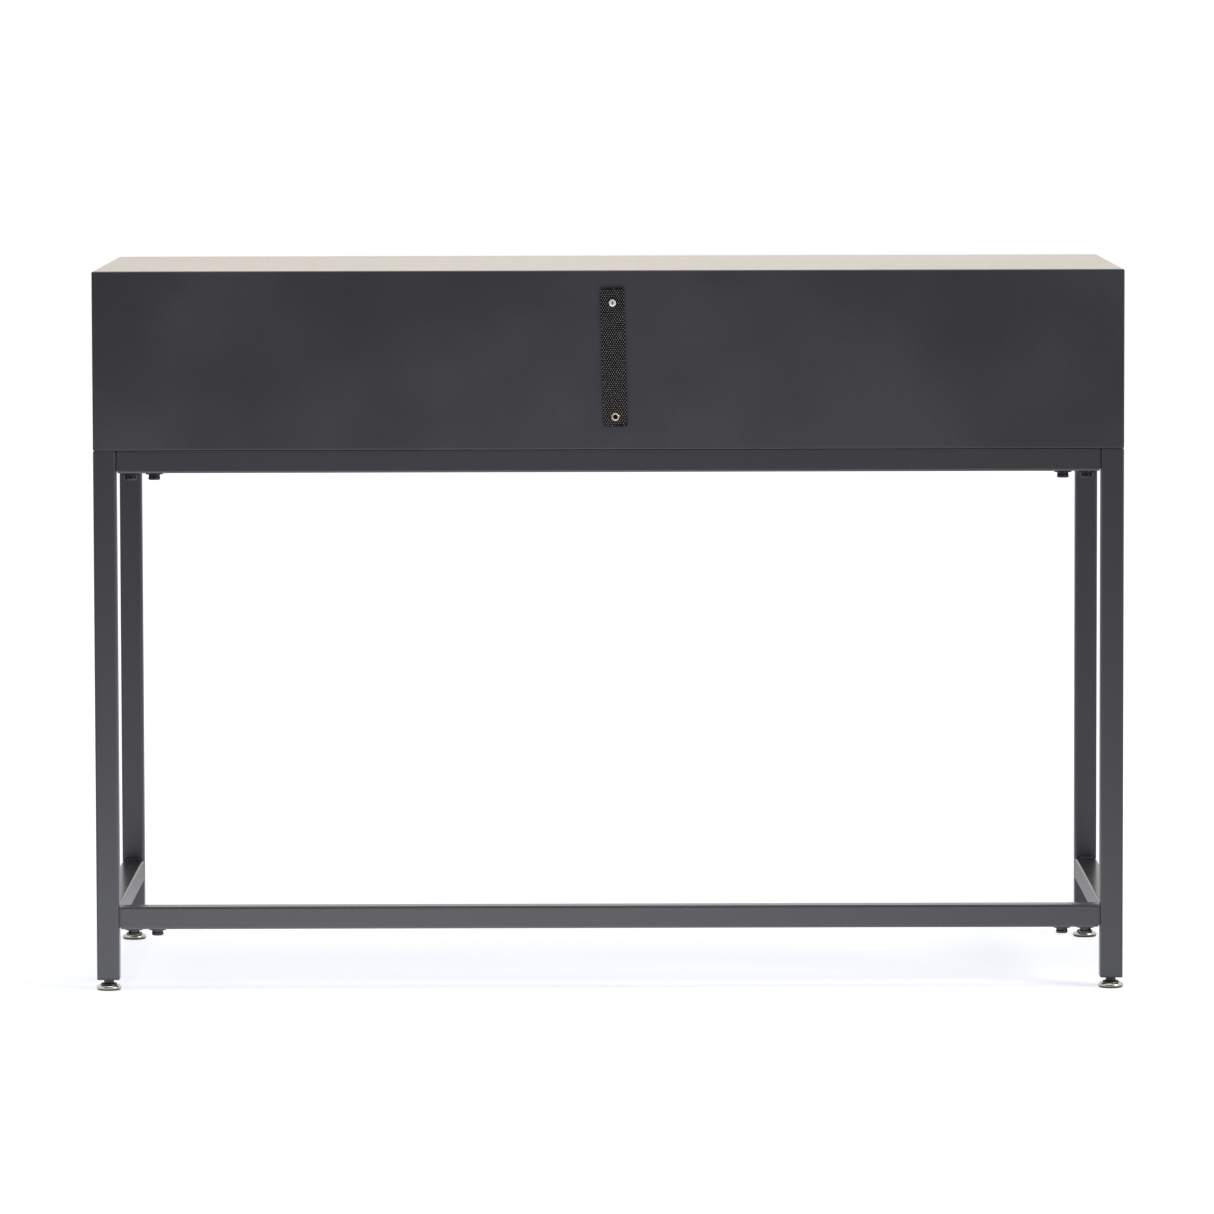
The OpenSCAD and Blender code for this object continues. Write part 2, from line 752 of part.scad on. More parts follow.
module strap() {
  color(BLACK_WEBBING) at_strap() translate([0, 0, strap_lift]) linear_extrude(strap_t) difference() {
    translate([-strap_w / 2, -strap_screw_inset]) square([strap_w, strap_l]);
    circle(d = strap_screw_d + 2 * run_gap, $fn = smooth);
    translate([0, eyelet_y]) circle(d = eyelet_bore_d + 2 * (eyelet_wall + fit_gap), $fn = smooth);
  }
}

module strap_eyelet() {
  color(BRASS) at_strap() translate([0, eyelet_y, 0]) difference() {
    union() {
      rod(eyelet_bore_d + 2 * eyelet_wall, strap_lift, strap_lift + strap_t);
      translate([0, 0, strap_lift + strap_t]) button(eyelet_d, eyelet_flange_t, edge_round(eyelet_flange_t));
      rod(eyelet_roll_d, strap_lift - eyelet_roll_t, strap_lift);
    }
    rod(eyelet_bore_d, 0, strap_lift + strap_t + eyelet_flange_t + over);
  }
}

module strap_screw() {
  head_z = strap_out - strap_head_h;
  color(ZINC) at_strap_screw() difference() {
    union() {
      rod(strap_screw_d, strap_screw_d - strap_screw_l, head_z + strap_head_h / 2);
      translate([0, 0, -strap_screw_l])
        cylinder(d1 = strap_screw_d / 8, d2 = strap_screw_d, h = strap_screw_d, $fn = smooth);
      translate([0, 0, head_z]) button(strap_head_d, strap_head_h, edge_round(strap_head_h));
    }
    translate([0, 0, strap_out]) driver_recess(strap_head_d);
  }
}

// ---- Drawer slides ----

// On a wall of a drawer's opening: X from the wall towards the drawer box, Y towards the back
// from the slide's front end, and Z up from its mid-height
module at_slide(side, wall) {
  translate([side * opening_x + wall * opening_w / 2, box_y + slide_setback, slide_z])
    mirror([wall > 0 ? 1 : 0, 0, 0]) children();
}

// A section in X and Z, drawn out along Y
module slide_bar(l) translate([0, l, 0]) rotate([90, 0, 0]) linear_extrude(l) children();

module slide_screw(gap) {
  rod(slide_screw_d + 2 * gap, -slide_screw_bite, 0);
  cylinder(d1 = slide_screw_d + 2 * gap, d2 = slide_head_d, h = slide_gauge, $fn = smooth);
}

module slide_screws() {
  for (y = slide_screw_ys) translate([0, y, 0]) along_x() difference() {
    slide_screw(0);
    translate([0, 0, slide_gauge]) driver_recess(slide_head_d);
  }
}

module slide_screw_holes() {
  for (y = slide_screw_ys) translate([0, y, 0]) along_x()
    rod(slide_screw_d + 2 * thread_gap, -slide_screw_bite - end_gap, over);
}

// Countersunk holes through a slide's web
module slide_countersinks() {
  for (y = slide_screw_ys) translate([0, y, 0]) along_x() {
    rod(slide_screw_d + 2 * fit_gap, -over, slide_gauge / 2);
    cylinder(d1 = slide_screw_d + 2 * fit_gap, d2 = slide_head_d + 2 * fit_gap, h = slide_gauge,
             $fn = smooth);
    rod(slide_head_d + 2 * fit_gap, slide_gauge, slide_gauge + over);
  }
}

// A channel with lips that hold the balls
module outer_slide() {
  difference() {
    slide_bar(slide_l) {
      translate([0, -slide_h / 2]) square([slide_gauge, slide_h]);
      for (flip = [0, 1]) mirror([0, flip]) {
        translate([0, slide_h / 2 - slide_gauge]) square([channel_depth, slide_gauge]);
        translate([channel_depth - slide_gauge, slide_h / 2 - slide_gauge - slide_lip])
          square([slide_gauge, slide_gauge + slide_lip]);
      }
    }
    slide_countersinks();
  }
}

// A smaller channel that opens towards the outer one and is screwed to the drawer box
module inner_slide() {
  difference() {
    slide_bar(slide_l) {
      translate([slide_t - slide_gauge, -inner_slide_h / 2]) square([slide_gauge, inner_slide_h]);
      for (flip = [0, 1]) mirror([0, flip])
        translate([inner_slide_u, inner_slide_h / 2 - slide_gauge])
          square([slide_t - inner_slide_u, slide_gauge]);
    }
    translate([slide_t, 0, 0]) mirror([1, 0, 0]) slide_countersinks();
  }
}

module at_balls() {
  for (v = [-ball_v, ball_v], y = spread(ball_count, ball_pitch))
    translate([ball_u, cage_start + cage_l / 2 + y, v]) children();
}

// A strip folded round the inner member, with a hole for each ball
module ball_cage() {
  difference() {
    translate([0, cage_start, 0]) slide_bar(cage_l) {
      translate([cage_u, -ball_v - cage_t / 2]) square([cage_t, 2 * ball_v + cage_t]);
      for (v = [-ball_v, ball_v])
        translate([cage_u, v - cage_t / 2]) square([cage_reach - cage_u, cage_t]);
    }
    at_balls() rod(ball_d + 2 * fit_gap, -cage_t, cage_t);
  }
}

module balls() at_balls() sphere(d = ball_d, $fn = fine);

module outer_slides() {
  color(ZINC) for (side = [LEFT, RIGHT], wall = [LEFT, RIGHT]) at_slide(side, wall) outer_slide();
}

module outer_slide_screws() {
  color(ZINC) for (side = [LEFT, RIGHT], wall = [LEFT, RIGHT]) at_slide(side, wall) slide_screws();
}

module inner_slides(side) color(ZINC) for (wall = [LEFT, RIGHT]) at_slide(side, wall) inner_slide();
module ball_cages(side) color(ZINC) for (wall = [LEFT, RIGHT]) at_slide(side, wall) ball_cage();
module slide_balls(side) color(ZINC) for (wall = [LEFT, RIGHT]) at_slide(side, wall) balls();

// ---- Drawers ----

module at_drawer(side) translate([side * opening_x, 0, 0]) children();

// At both pull screws, with Z out of the drawer front
module at_pull_screws() {
  for (x = spread(2, pull_pitch)) translate([x, y_front, pull_z]) rotate([90, 0, 0]) children();
}

// The slot that holds the edges of a drawer's bottom, as wide and as long as the box
module bottom_groove(from, to) {
  translate([-box_w / 2 + box_t - groove, from, box_z + groove_rise])
    cube([box_w - 2 * box_t + 2 * groove, to - from, drawer_bottom_t + fit_gap]);
}

module drawer_front(side) {
  color(CHARCOAL) at_drawer(side) difference() {
    translate([-opening_w / 2 + front_gap, y_front, floor_z + front_gap])
      eased_box(opening_w - 2 * front_gap, front_t, inner_h - 2 * front_gap, ease);
    for (x = [-box_w / 2, box_w / 2 - box_t])
      translate([x - fit_gap, box_y - groove, box_z - fit_gap])
        cube([box_t + 2 * fit_gap, groove + over, box_h + 2 * fit_gap]);
    bottom_groove(box_y - groove, box_y + over);
    at_pull_screws() rod(pull_screw_d + 2 * bolt_gap, -front_t - over, over);
  }
}

module drawer_side(side, wall) {
  color(BIRCH) difference() {
    at_drawer(side) difference() {
      translate([wall < 0 ? -box_w / 2 : box_w / 2 - box_t, box_y - groove + fit_gap, box_z])
        cube([box_t, box_l + groove - fit_gap, box_h]);
      bottom_groove(box_y - groove - over, box_y + box_l + over);
      translate([-box_w / 2 + box_t - groove, box_back_y - fit_gap, box_z - over])
        cube([box_w - 2 * box_t + 2 * groove, box_t + 2 * fit_gap, box_h + 2 * over]);
    }
    at_slide(side, wall) translate([slide_t, 0, 0]) mirror([1, 0, 0]) slide_screw_holes();
  }
}

module drawer_back(side) {
  color(BIRCH) at_drawer(side) difference() {
    translate([-box_w / 2 + box_t - groove + fit_gap, box_back_y, box_z])
      cube([box_w - 2 * (box_t - groove + fit_gap), box_t, box_h]);
    bottom_groove(box_y, box_back_y + groove);
  }
}

module drawer_bottom(side) {
  color(BIRCH) at_drawer(side)
    translate([-box_w / 2 + box_t - groove + fit_gap, box_y - groove + fit_gap, box_z + groove_rise])
      cube([box_w - 2 * (box_t - groove + fit_gap), box_back_y - box_y + 2 * (groove - fit_gap),
            drawer_bottom_t]);
}

// A round bar on two posts, tapped for screws from inside the drawer
module drawer_pull(side) {
  color(BLACK_STEEL) at_drawer(side) difference() {
    union() {
      translate([-pull_l / 2, pull_bar_y, pull_z]) along_x() button(pull_d, pull_l, pull_end_round);
      at_pull_screws() {
        rod(post_d, 0, pull_reach - pull_d / 2);
        rod(post_foot_d, 0, post_foot_t);
      }
    }
    at_pull_screws() rod(pull_screw_d + 2 * thread_gap, -over, pull_screw_bite + end_gap);
  }
}

// Pan-headed screws for the pull, and the countersunk screws of the inner slides
module drawer_screws(side) {
  color(ZINC) {
    at_drawer(side) at_pull_screws() difference() {
      union() {
        rod(pull_screw_d, -front_t, pull_screw_bite);
        translate([0, 0, -front_t - pull_head_h])
          button(pull_head_d, pull_head_h, edge_round(pull_head_h));
      }
      translate([0, 0, -front_t - pull_head_h]) driver_recess(pull_head_d);
    }
    for (wall = [LEFT, RIGHT])
      at_slide(side, wall) translate([slide_t, 0, 0]) mirror([1, 0, 0]) slide_screws();
  }
}

module left_drawer_front() drawer_front(LEFT);
module left_drawer_left_side() drawer_side(LEFT, LEFT);
module left_drawer_right_side() drawer_side(LEFT, RIGHT);
module left_drawer_back() drawer_back(LEFT);
module left_drawer_bottom() drawer_bottom(LEFT);
module left_drawer_pull() drawer_pull(LEFT);
module left_drawer_screws() drawer_screws(LEFT);
module left_inner_slides() inner_slides(LEFT);
module left_ball_cages() ball_cages(LEFT);
module left_slide_balls() slide_balls(LEFT);

module right_drawer_front() drawer_front(RIGHT);
module right_drawer_left_side() drawer_side(RIGHT, LEFT);
module right_drawer_right_side() drawer_side(RIGHT, RIGHT);
module right_drawer_back() drawer_back(RIGHT);
module right_drawer_bottom() drawer_bottom(RIGHT);
module right_drawer_pull() drawer_pull(RIGHT);
module right_drawer_screws() drawer_screws(RIGHT);
module right_inner_slides() inner_slides(RIGHT);
module right_ball_cages() ball_cages(RIGHT);
module right_slide_balls() slide_balls(RIGHT);

top_panel();
bottom_panel();
left_side_panel();
right_side_panel();
center_partition();
back_panel();
case_dowels();
cam_locks();
cam_bolts();
front_left_leg();
front_right_leg();
back_left_leg();
back_right_leg();
left_top_side_rail();
right_top_side_rail();
left_lower_side_rail();
right_lower_side_rail();
back_top_rail();
back_lower_rail();
front_top_rail();
rail_stubs();
frame_bolts();
spring_washers();
flat_washers();
case_screws();
leg_plugs();
front_left_glide_stem();
front_right_glide_stem();
back_left_glide_stem();
back_right_glide_stem();
front_left_glide_cup();
front_right_glide_cup();
back_left_glide_cup();
back_right_glide_cup();
strap();
strap_eyelet();
strap_screw();
outer_slides();
outer_slide_screws();
left_drawer_front();
left_drawer_left_side();
left_drawer_right_side();
left_drawer_back();
left_drawer_bottom();
left_drawer_pull();
left_drawer_screws();
left_inner_slides();
left_ball_cages();
left_slide_balls();
right_drawer_front();
right_drawer_left_side();
right_drawer_right_side();
right_drawer_back();
right_drawer_bottom();
right_drawer_pull();
right_drawer_screws();
right_inner_slides();
right_ball_cages();
right_slide_balls();
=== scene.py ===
# %% [markdown]
# # A writing desk, dressed for a studio picture
#
# The desk is a shallow charcoal case with a pale wood-grain top. It stands on a bolted
# frame of square steel tube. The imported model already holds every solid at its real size,
# so this notebook adds the finishes, and the fine forms that a solid modeller leaves out:
# woven webbing, screw threads, turned feet and weld beads.
#
# We start by loading that model. Every piece of it sits at the origin with its place in
# its mesh, so a position is read from the model instead of being typed again. Two small
# helpers go with it: one reads the middle of a piece, and one puts new data in the scene.

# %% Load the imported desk
import json
import math

import bmesh
import bpy
from mathutils import Matrix, Vector


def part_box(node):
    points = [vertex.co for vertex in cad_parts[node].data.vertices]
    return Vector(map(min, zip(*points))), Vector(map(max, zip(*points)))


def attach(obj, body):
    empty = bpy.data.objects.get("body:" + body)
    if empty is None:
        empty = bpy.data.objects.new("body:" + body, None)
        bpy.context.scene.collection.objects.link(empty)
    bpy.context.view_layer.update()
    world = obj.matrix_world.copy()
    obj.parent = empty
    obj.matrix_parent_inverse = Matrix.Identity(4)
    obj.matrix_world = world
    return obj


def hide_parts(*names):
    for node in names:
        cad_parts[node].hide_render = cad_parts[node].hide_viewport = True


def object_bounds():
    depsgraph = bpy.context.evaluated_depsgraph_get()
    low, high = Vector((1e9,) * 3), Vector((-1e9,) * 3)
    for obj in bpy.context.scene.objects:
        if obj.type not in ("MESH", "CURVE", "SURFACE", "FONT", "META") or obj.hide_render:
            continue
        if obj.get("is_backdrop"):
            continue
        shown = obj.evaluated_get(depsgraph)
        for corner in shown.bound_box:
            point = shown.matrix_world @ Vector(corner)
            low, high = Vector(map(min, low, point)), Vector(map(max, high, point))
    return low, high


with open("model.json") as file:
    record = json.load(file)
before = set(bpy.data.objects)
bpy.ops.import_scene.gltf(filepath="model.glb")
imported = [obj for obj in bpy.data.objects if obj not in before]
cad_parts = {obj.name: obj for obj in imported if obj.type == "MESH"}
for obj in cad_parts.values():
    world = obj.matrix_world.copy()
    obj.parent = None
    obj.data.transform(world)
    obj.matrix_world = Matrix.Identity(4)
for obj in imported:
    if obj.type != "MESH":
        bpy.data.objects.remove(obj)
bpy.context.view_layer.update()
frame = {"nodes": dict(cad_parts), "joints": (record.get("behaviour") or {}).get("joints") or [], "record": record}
nodes = frame["nodes"]
record = frame["record"]
MM = 0.001


def middle(node):
    """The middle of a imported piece."""
    low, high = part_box(node)
    return (low + high) / 2


def in_scene(name, data):
    """A new object that holds this data, linked into the scene."""
    made = bpy.data.objects.new(name, data)
    bpy.context.scene.collection.objects.link(made)
    return made


# %% [markdown]
# ## Camera
#
# A catalogue picture of a desk is taken from far away with a long lens, which keeps the
# uprights close to parallel. Here the camera stands about eight metres behind the desk,
# a little above the desktop, and looks slightly down. Aiming it at a point on the back
# face centres the desk, so the lens needs no shift.

# %% Camera behind the desk
LENS_MM = 223.5
CAMERA_PLACE = Vector((0.003, 8.171, 1.053))
AIM_X, AIM_HEIGHT = 0.002, 0.407
CAMERA_ROLL = math.radians(-0.15)

back_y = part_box("back_panel")[1].y
camera_data = bpy.data.cameras.new("camera")
camera_data.lens = LENS_MM
camera = in_scene("camera", camera_data)
camera.location = CAMERA_PLACE
aim = Vector((AIM_X, back_y, AIM_HEIGHT)) - CAMERA_PLACE
camera.rotation_euler = (
    aim.to_track_quat("-Z", "Y").to_matrix() @ Matrix.Rotation(CAMERA_ROLL, 3, "Z")
).to_euler()
bpy.context.scene.camera = camera
bpy.context.scene.view_settings.view_transform = "Standard"
print(f"camera {aim.length:.2f} m from the back panel, {LENS_MM} mm lens")

# %% [markdown]
# ## Helpers for materials
#
# Colours are written as the hex values that a paint card or a colour picker gives. Blender
# works in linear light, so one function turns a hex value to linear. Another adds one node
# with its settings and links, so that a node tree reads like a recipe. It serves shaders and
# Geometry Nodes alike.


# %% Colour and node helpers
def linear(hex_colour):
    """An sRGB hex colour as the linear colour that shader sockets take."""
    channels = [int(hex_colour[i : i + 2], 16) / 255 for i in (0, 2, 4)]
    light = [c / 12.92 if c <= 0.04045 else ((c + 0.055) / 1.055) ** 2.4 for c in channels]
    return (*light, 1.0)


def set_inputs(tree, node, inputs):
    """Links an input that is given a socket, or a node whose first output in use is meant.
    Any other input is set."""
    for key, value in inputs.items():
        if isinstance(value, bpy.types.Node):
            value = next(output for output in value.outputs if output.enabled)
        if isinstance(value, bpy.types.NodeSocket):
            tree.links.new(value, node.inputs[key])
        else:
            node.inputs[key].default_value = value


def add(tree, kind, inputs=None, stops=(), **settings):
    """Adds one node. Stops are the places and hex colours of a colour ramp."""
    node = tree.nodes.new(kind)
    for name, value in settings.items():
        setattr(node, name, value)
    set_inputs(tree, node, inputs or {})
    for i, (place, colour) in enumerate(stops):
        if i >= len(node.color_ramp.elements):
            node.color_ramp.elements.new(place)
        node.color_ramp.elements[i].position = place
        node.color_ramp.elements[i].color = linear(colour)
    return node


def new_material(name):
    """An empty material. Returns it, its tree, its shader and its Object coordinates."""
    material = bpy.data.materials.new(name)
    material.use_nodes = True
    tree = material.node_tree
    place = add(tree, "ShaderNodeTexCoord").outputs["Object"]
    return material, tree, tree.nodes["Principled BSDF"], place


# Sockets of the Mix node: its two vectors, and its two colours
VECTOR_A, VECTOR_B, COLOUR_A, COLOUR_B = 4, 5, 6, 7
MULTIPLIED = {"data_type": "RGBA", "blend_type": "MULTIPLY"}
print("helpers ready, mid grey is", round(linear("808080")[0], 3))

# %% [markdown]
# A few patterns come back in several materials. Colours drift in soft clouds. Marks that
# follow a direction, such as wood fibres, are a noise stretched along one axis. Some patterns
# belong only on the faces that look along an axis. Tight corners are darkened with painted
# shade. And most finishes end alike: one pattern drives the gloss, and one the relief.


# %% Helpers for patterns
FACING = 0.7  # a face looks along an axis when its normal leans towards it by more than this
CORNER_OPENNESS = (0.45, 0.9)  # share of open sky at which a corner's painted shade is full, and gone
CORNER_SHADE = 0.02  # how much of the colour is left under the painted shade


def clouded(tree, place, cloud_mm, detail, colours):
    """A noise with clouds of this size. Returns it, and the colours that it runs through."""
    scale = 1 / (cloud_mm * MM)
    clouds = add(tree, "ShaderNodeTexNoise", {"Vector": place, "Scale": scale, "Detail": detail})
    return clouds, add(tree, "ShaderNodeValToRGB", {"Fac": clouds}, colours)


def stretched_noise(tree, place, axis, mark_mm, detail):
    """Noise whose marks have this length along one axis, and this width across it."""
    length, width = mark_mm
    scale = [1 / ((length if letter == axis else width) * MM) for letter in "XYZ"]
    stretched = add(tree, "ShaderNodeMapping", {"Vector": place, "Scale": scale})
    return add(tree, "ShaderNodeTexNoise", {"Vector": stretched, "Scale": 1.0, "Detail": detail})


def faces_along(tree, axis):
    """One on the faces that look along this axis, and zero on the others."""
    normal = add(tree, "ShaderNodeTexCoord").outputs["Normal"]
    facing = add(tree, "ShaderNodeSeparateXYZ", {0: normal}).outputs[axis]
    facing = add(tree, "ShaderNodeMath", {0: facing}, operation="ABSOLUTE")
    return add(tree, "ShaderNodeMath", {0: facing, 1: FACING}, operation="GREATER_THAN")


def shaded_corners(tree, colour, reach_mm):
    """Paints shade into a colour: darkens it wherever a wall stands nearer than the reach."""
    # painted shade from ambient occlusion, not dirt
    corners = add(tree, "ShaderNodeAmbientOcclusion", {"Distance": reach_mm * MM}, samples=8)
    full_shade, no_shade = CORNER_OPENNESS
    painted_shade = add(
        tree,
        "ShaderNodeMapRange",
        {
            "Value": corners.outputs["AO"],
            "From Min": full_shade,
            "From Max": no_shade,
            "To Min": CORNER_SHADE,
        },
    )
    return add(tree, "ShaderNodeMix", {0: 1.0, COLOUR_A: colour, COLOUR_B: painted_shade}, **MULTIPLIED)


def dress(tree, shader, colour, gloss, relief, metallic=0.0, span=(0.0, 1.0)):
    """Sets a shader. The gloss is a pattern and the two roughnesses that it runs between as
    it crosses its span. The relief is a pattern, a strength and a depth in millimetres."""
    pattern, start, end = gloss
    roughness = add(
        tree,
        "ShaderNodeMapRange",
        {
            "Value": pattern,
            "From Min": span[0],
            "From Max": span[1],
            "To Min": start,
            "To Max": end,
        },
    )
    pattern, strength, depth_mm = relief
    bump = add(
        tree, "ShaderNodeBump", {"Height": pattern, "Strength": strength, "Distance": depth_mm * MM}
    )
    set_inputs(
        tree,
        shader,
        {"Base Color": colour, "Metallic": metallic, "Roughness": roughness, "Normal": bump},
    )


print("pattern helpers ready")

# %% [markdown]
# ## Studio
#
# The desk stands on a plain pale floor in a white studio. One broad soft box overhead lights
# the desktop and the floor, and a second one to the side rakes along the back panel, which
# shows the relief of the webbing. The camera should see a clean white background, so the
# world is full white for camera, glossy and transmission rays, and dimmer for the light that
# falls on the desk.


# %% World and lamps
AMBIENT = 0.28
world = bpy.data.worlds.new("studio")
bpy.context.scene.world = world
world.use_nodes = True
sky = world.node_tree
rays = add(sky, "ShaderNodeLightPath").outputs
seen_directly = rays["Is Camera Ray"]
for other_ray in ("Is Glossy Ray", "Is Transmission Ray"):
    seen_directly = add(
        sky, "ShaderNodeMath", {0: seen_directly, 1: rays[other_ray]}, operation="MAXIMUM"
    )
strength = add(sky, "ShaderNodeMapRange", {"Value": seen_directly, "To Min": AMBIENT})
set_inputs(sky, sky.nodes["Background"], {"Color": (1, 1, 1, 1), "Strength": strength})


def soft_box(name, place, target, width, height, watts):
    """A rectangular area lamp that faces a target."""
    lamp = bpy.data.lights.new(name, "AREA")
    lamp.shape = "RECTANGLE"
    lamp.size = width
    lamp.size_y = height
    lamp.energy = watts
    lamp_object = in_scene(name, lamp)
    lamp_object.location = place
    aim = Vector(target) - Vector(place)
    lamp_object.rotation_euler = aim.to_track_quat("-Z", "Y").to_euler()


def sheet(name, corners, material):
    """A flat sheet with four corners."""
    mesh = bpy.data.meshes.new(name)
    mesh.from_pydata(corners, [], [range(4)])
    mesh.materials.append(material)
    return in_scene(name, mesh)


soft_box("overhead_soft_box", (0.1, 0.1, 2.6), (0, 0.1, 0), 2.4, 1.6, 22.5)
soft_box("raking_soft_box", (-2.6, 1.8, 1.4), (-0.1, back_y, 0.66), 0.9, 0.9, 27)
print("world ambient", AMBIENT)

# %% [markdown]
# The floor is matt white paper under a strong light, and it throws that light back up at the
# frame: the legs get brighter towards their feet. The lit pool on the paper is drawn as a
# soft round glow that only lights other things, while the camera sees the paper as an even
# white with the desk's own faint shadow on it. A haze of light lifts the paper to white, and
# it is thinner near the desk, so that the shadow isn't washed out.

# %% Floor of white paper
FLOOR_HALF = 12.0
GLOW_CENTRE = (0.2, 0.7)
GLOW_RADIUS = 1.7
GLOW = 4.9
HAZE_NEAR, HAZE_FAR, HAZE_RADIUS = 0.72, 0.86, 3.5
MIRRORED_GLOW = 0.25  # how much of the glow shines back in polished metal

floor_paper, tree, shader, place = new_material("matt_white_paper")
from_centre = add(
    tree, "ShaderNodeVectorMath", {0: place, 1: (*GLOW_CENTRE, 0)}, operation="DISTANCE"
)
glow = add(
    tree,
    "ShaderNodeMapRange",
    {"Value": from_centre, "From Max": GLOW_RADIUS, "To Min": GLOW, "To Max": 0.0},
    interpolation_type="SMOOTHSTEP",
)
rays = add(tree, "ShaderNodeLightPath").outputs
mirrored = add(
    tree,
    "ShaderNodeMapRange",
    {"Value": rays["Is Glossy Ray"], "To Min": 1.0, "To Max": MIRRORED_GLOW},
)
glow = add(tree, "ShaderNodeMath", {0: glow, 1: mirrored}, operation="MULTIPLY")
haze = add(
    tree,
    "ShaderNodeMapRange",
    {
        "Value": from_centre,
        "From Min": GLOW_RADIUS,
        "From Max": HAZE_RADIUS,
        "To Min": HAZE_NEAR,
        "To Max": HAZE_FAR,
    },
)
shine = add(tree, "ShaderNodeMix", {"Factor": rays["Is Camera Ray"], "A": glow, "B": haze})
set_inputs(
    tree,
    shader,
    {
        "Base Color": linear("F2F2F2"),
        "Roughness": 0.9,
        "Specular IOR Level": 0.1,
        "Emission Color": linear("F6F8FF"),
        "Emission Strength": shine,
    },
)
quarters = [(-1, -1), (1, -1), (1, 1), (-1, 1)]
floor_corners = [(x * FLOOR_HALF, y * FLOOR_HALF, 0) for x, y in quarters]
floor = sheet("studio_floor", floor_corners, floor_paper)
floor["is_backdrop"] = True
print("floor", 2 * FLOOR_HALF, "m square")

# %% [markdown]
# Photographers hang a dark cloth, called a flag, where a surface would only mirror white
# walls. One behind the camera keeps the upper part of the charcoal panel dark. The camera
# itself doesn't see the cloth.

# %% Dark flag behind the camera
FLAG_X = (-1.8, 3.6)
FLAG_Z = (0.35, 4.0)
FLAG_Y = 3.2

flag_cloth, tree, shader, place = new_material("dark_flag_cloth")
set_inputs(tree, shader, {"Base Color": linear("404040"), "Roughness": 1.0})
flag_corners = [(FLAG_X[i], FLAG_Y, FLAG_Z[j]) for i, j in ((0, 0), (1, 0), (1, 1), (0, 1))]
flag = sheet("dark_flag", flag_corners, flag_cloth)
flag.visible_camera = False
flag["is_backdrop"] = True
print("flag from", FLAG_Z[0], "m up")

# %% [markdown]
# ## Desktop: melamine foil printed with pale oak
#
# The desktop is particleboard under a printed paper foil, pressed with melamine resin. The
# eye reads three things in it: broad beige, pinkish and grey streaks along the boards, finer
# growth lines that bend into long arches, and short dark pores. All run along the desk's
# width, and the edge tape on the ends carries the same print along its own length. So the
# coordinates are turned on faces that look sideways, and each pattern is a noise that is
# stretched far along the grain.

# %% Printed oak foil
STREAK_MM = (800, 16)  # length and width of the broad streaks
FIGURE_MM = (620, 130)  # length and width of one arch in the growth lines
GROWTH_LINE_MM = 3.4  # distance between growth lines
PORE_MM = (11, 0.7)  # pores, drawn wider than the real 0.2 mm so that they show

printed_oak, tree, shader, place = new_material("melamine_foil_printed_oak")
axes = add(tree, "ShaderNodeSeparateXYZ", {0: place}).outputs
turned = add(tree, "ShaderNodeCombineXYZ", {0: axes["Y"], 1: axes["Z"], 2: axes["X"]})
along_grain = add(
    tree,
    "ShaderNodeMix",
    {0: faces_along(tree, "X"), VECTOR_A: place, VECTOR_B: turned},
    data_type="VECTOR",
)
print("oak coordinates follow the grain on every face")

# %% Growth lines that bend into arches
figure = stretched_noise(tree, along_grain, "X", FIGURE_MM, 1.5)
grain_axes = add(tree, "ShaderNodeSeparateXYZ", {0: along_grain}).outputs
across = add(tree, "ShaderNodeMath", {0: grain_axes["Y"], 1: grain_axes["Z"]}, operation="ADD")
bent = add(
    tree, "ShaderNodeMath", {0: figure, 1: FIGURE_MM[1] * MM, 2: across}, operation="MULTIPLY_ADD"
)
growth = add(
    tree,
    "ShaderNodeTexNoise",
    {"W": bent, "Scale": 1 / (GROWTH_LINE_MM * MM), "Detail": 3.0, "Roughness": 0.7},
    noise_dimensions="1D",
)
print("growth lines every", GROWTH_LINE_MM, "mm")

# %% Streaks and pores
streaks = stretched_noise(tree, along_grain, "X", STREAK_MM, 3.0)
pores = stretched_noise(tree, along_grain, "X", PORE_MM, 1.0)
wood = add(
    tree,
    "ShaderNodeValToRGB",
    {"Fac": streaks},
    [(0.30, "D6D3CB"), (0.42, "E9E3D8"), (0.52, "ECE1D7"), (0.62, "F1ECE2"), (0.74, "E0D6CA")],
)
lines = add(
    tree,
    "ShaderNodeValToRGB",
    {"Fac": growth},
    [(0.32, "D2CBC2"), (0.5, "F3EFEA"), (0.68, "FFFFFF")],
)
print("streaks", STREAK_MM[1], "mm wide, pores", PORE_MM[0], "mm long")

# %% Oak print on the foil
wood = add(tree, "ShaderNodeMix", {0: 0.55, COLOUR_A: wood, COLOUR_B: lines}, **MULTIPLIED)
pits = add(tree, "ShaderNodeMapRange", {"Value": pores, "From Min": 0.34, "From Max": 0.42})
pit_colour = add(tree, "ShaderNodeValToRGB", {"Fac": pits}, [(0.0, "B9AC9C"), (1.0, "FFFFFF")])
wood = add(tree, "ShaderNodeMix", {0: 0.5, COLOUR_A: wood, COLOUR_B: pit_colour}, **MULTIPLIED)
dress(tree, shader, wood, gloss=(growth, 0.56, 0.44), relief=(pits, 0.35, 0.06))
print("oak print embossed along its pores")

# %% [markdown]
# ## Case: charcoal melamine with a satin press
#
# The case panels are particleboard too, faced with a plain charcoal foil that was pressed
# against a finely grained steel plate. That gives a satin face with a very fine pebble and a
# slow drift in gloss where the plate is worn, and almost no change in colour.

# %% Satin charcoal melamine
PEBBLE_MM = 1.6  # the press plate's grain, drawn four times its real size so that it shows
DRIFT_MM = 140

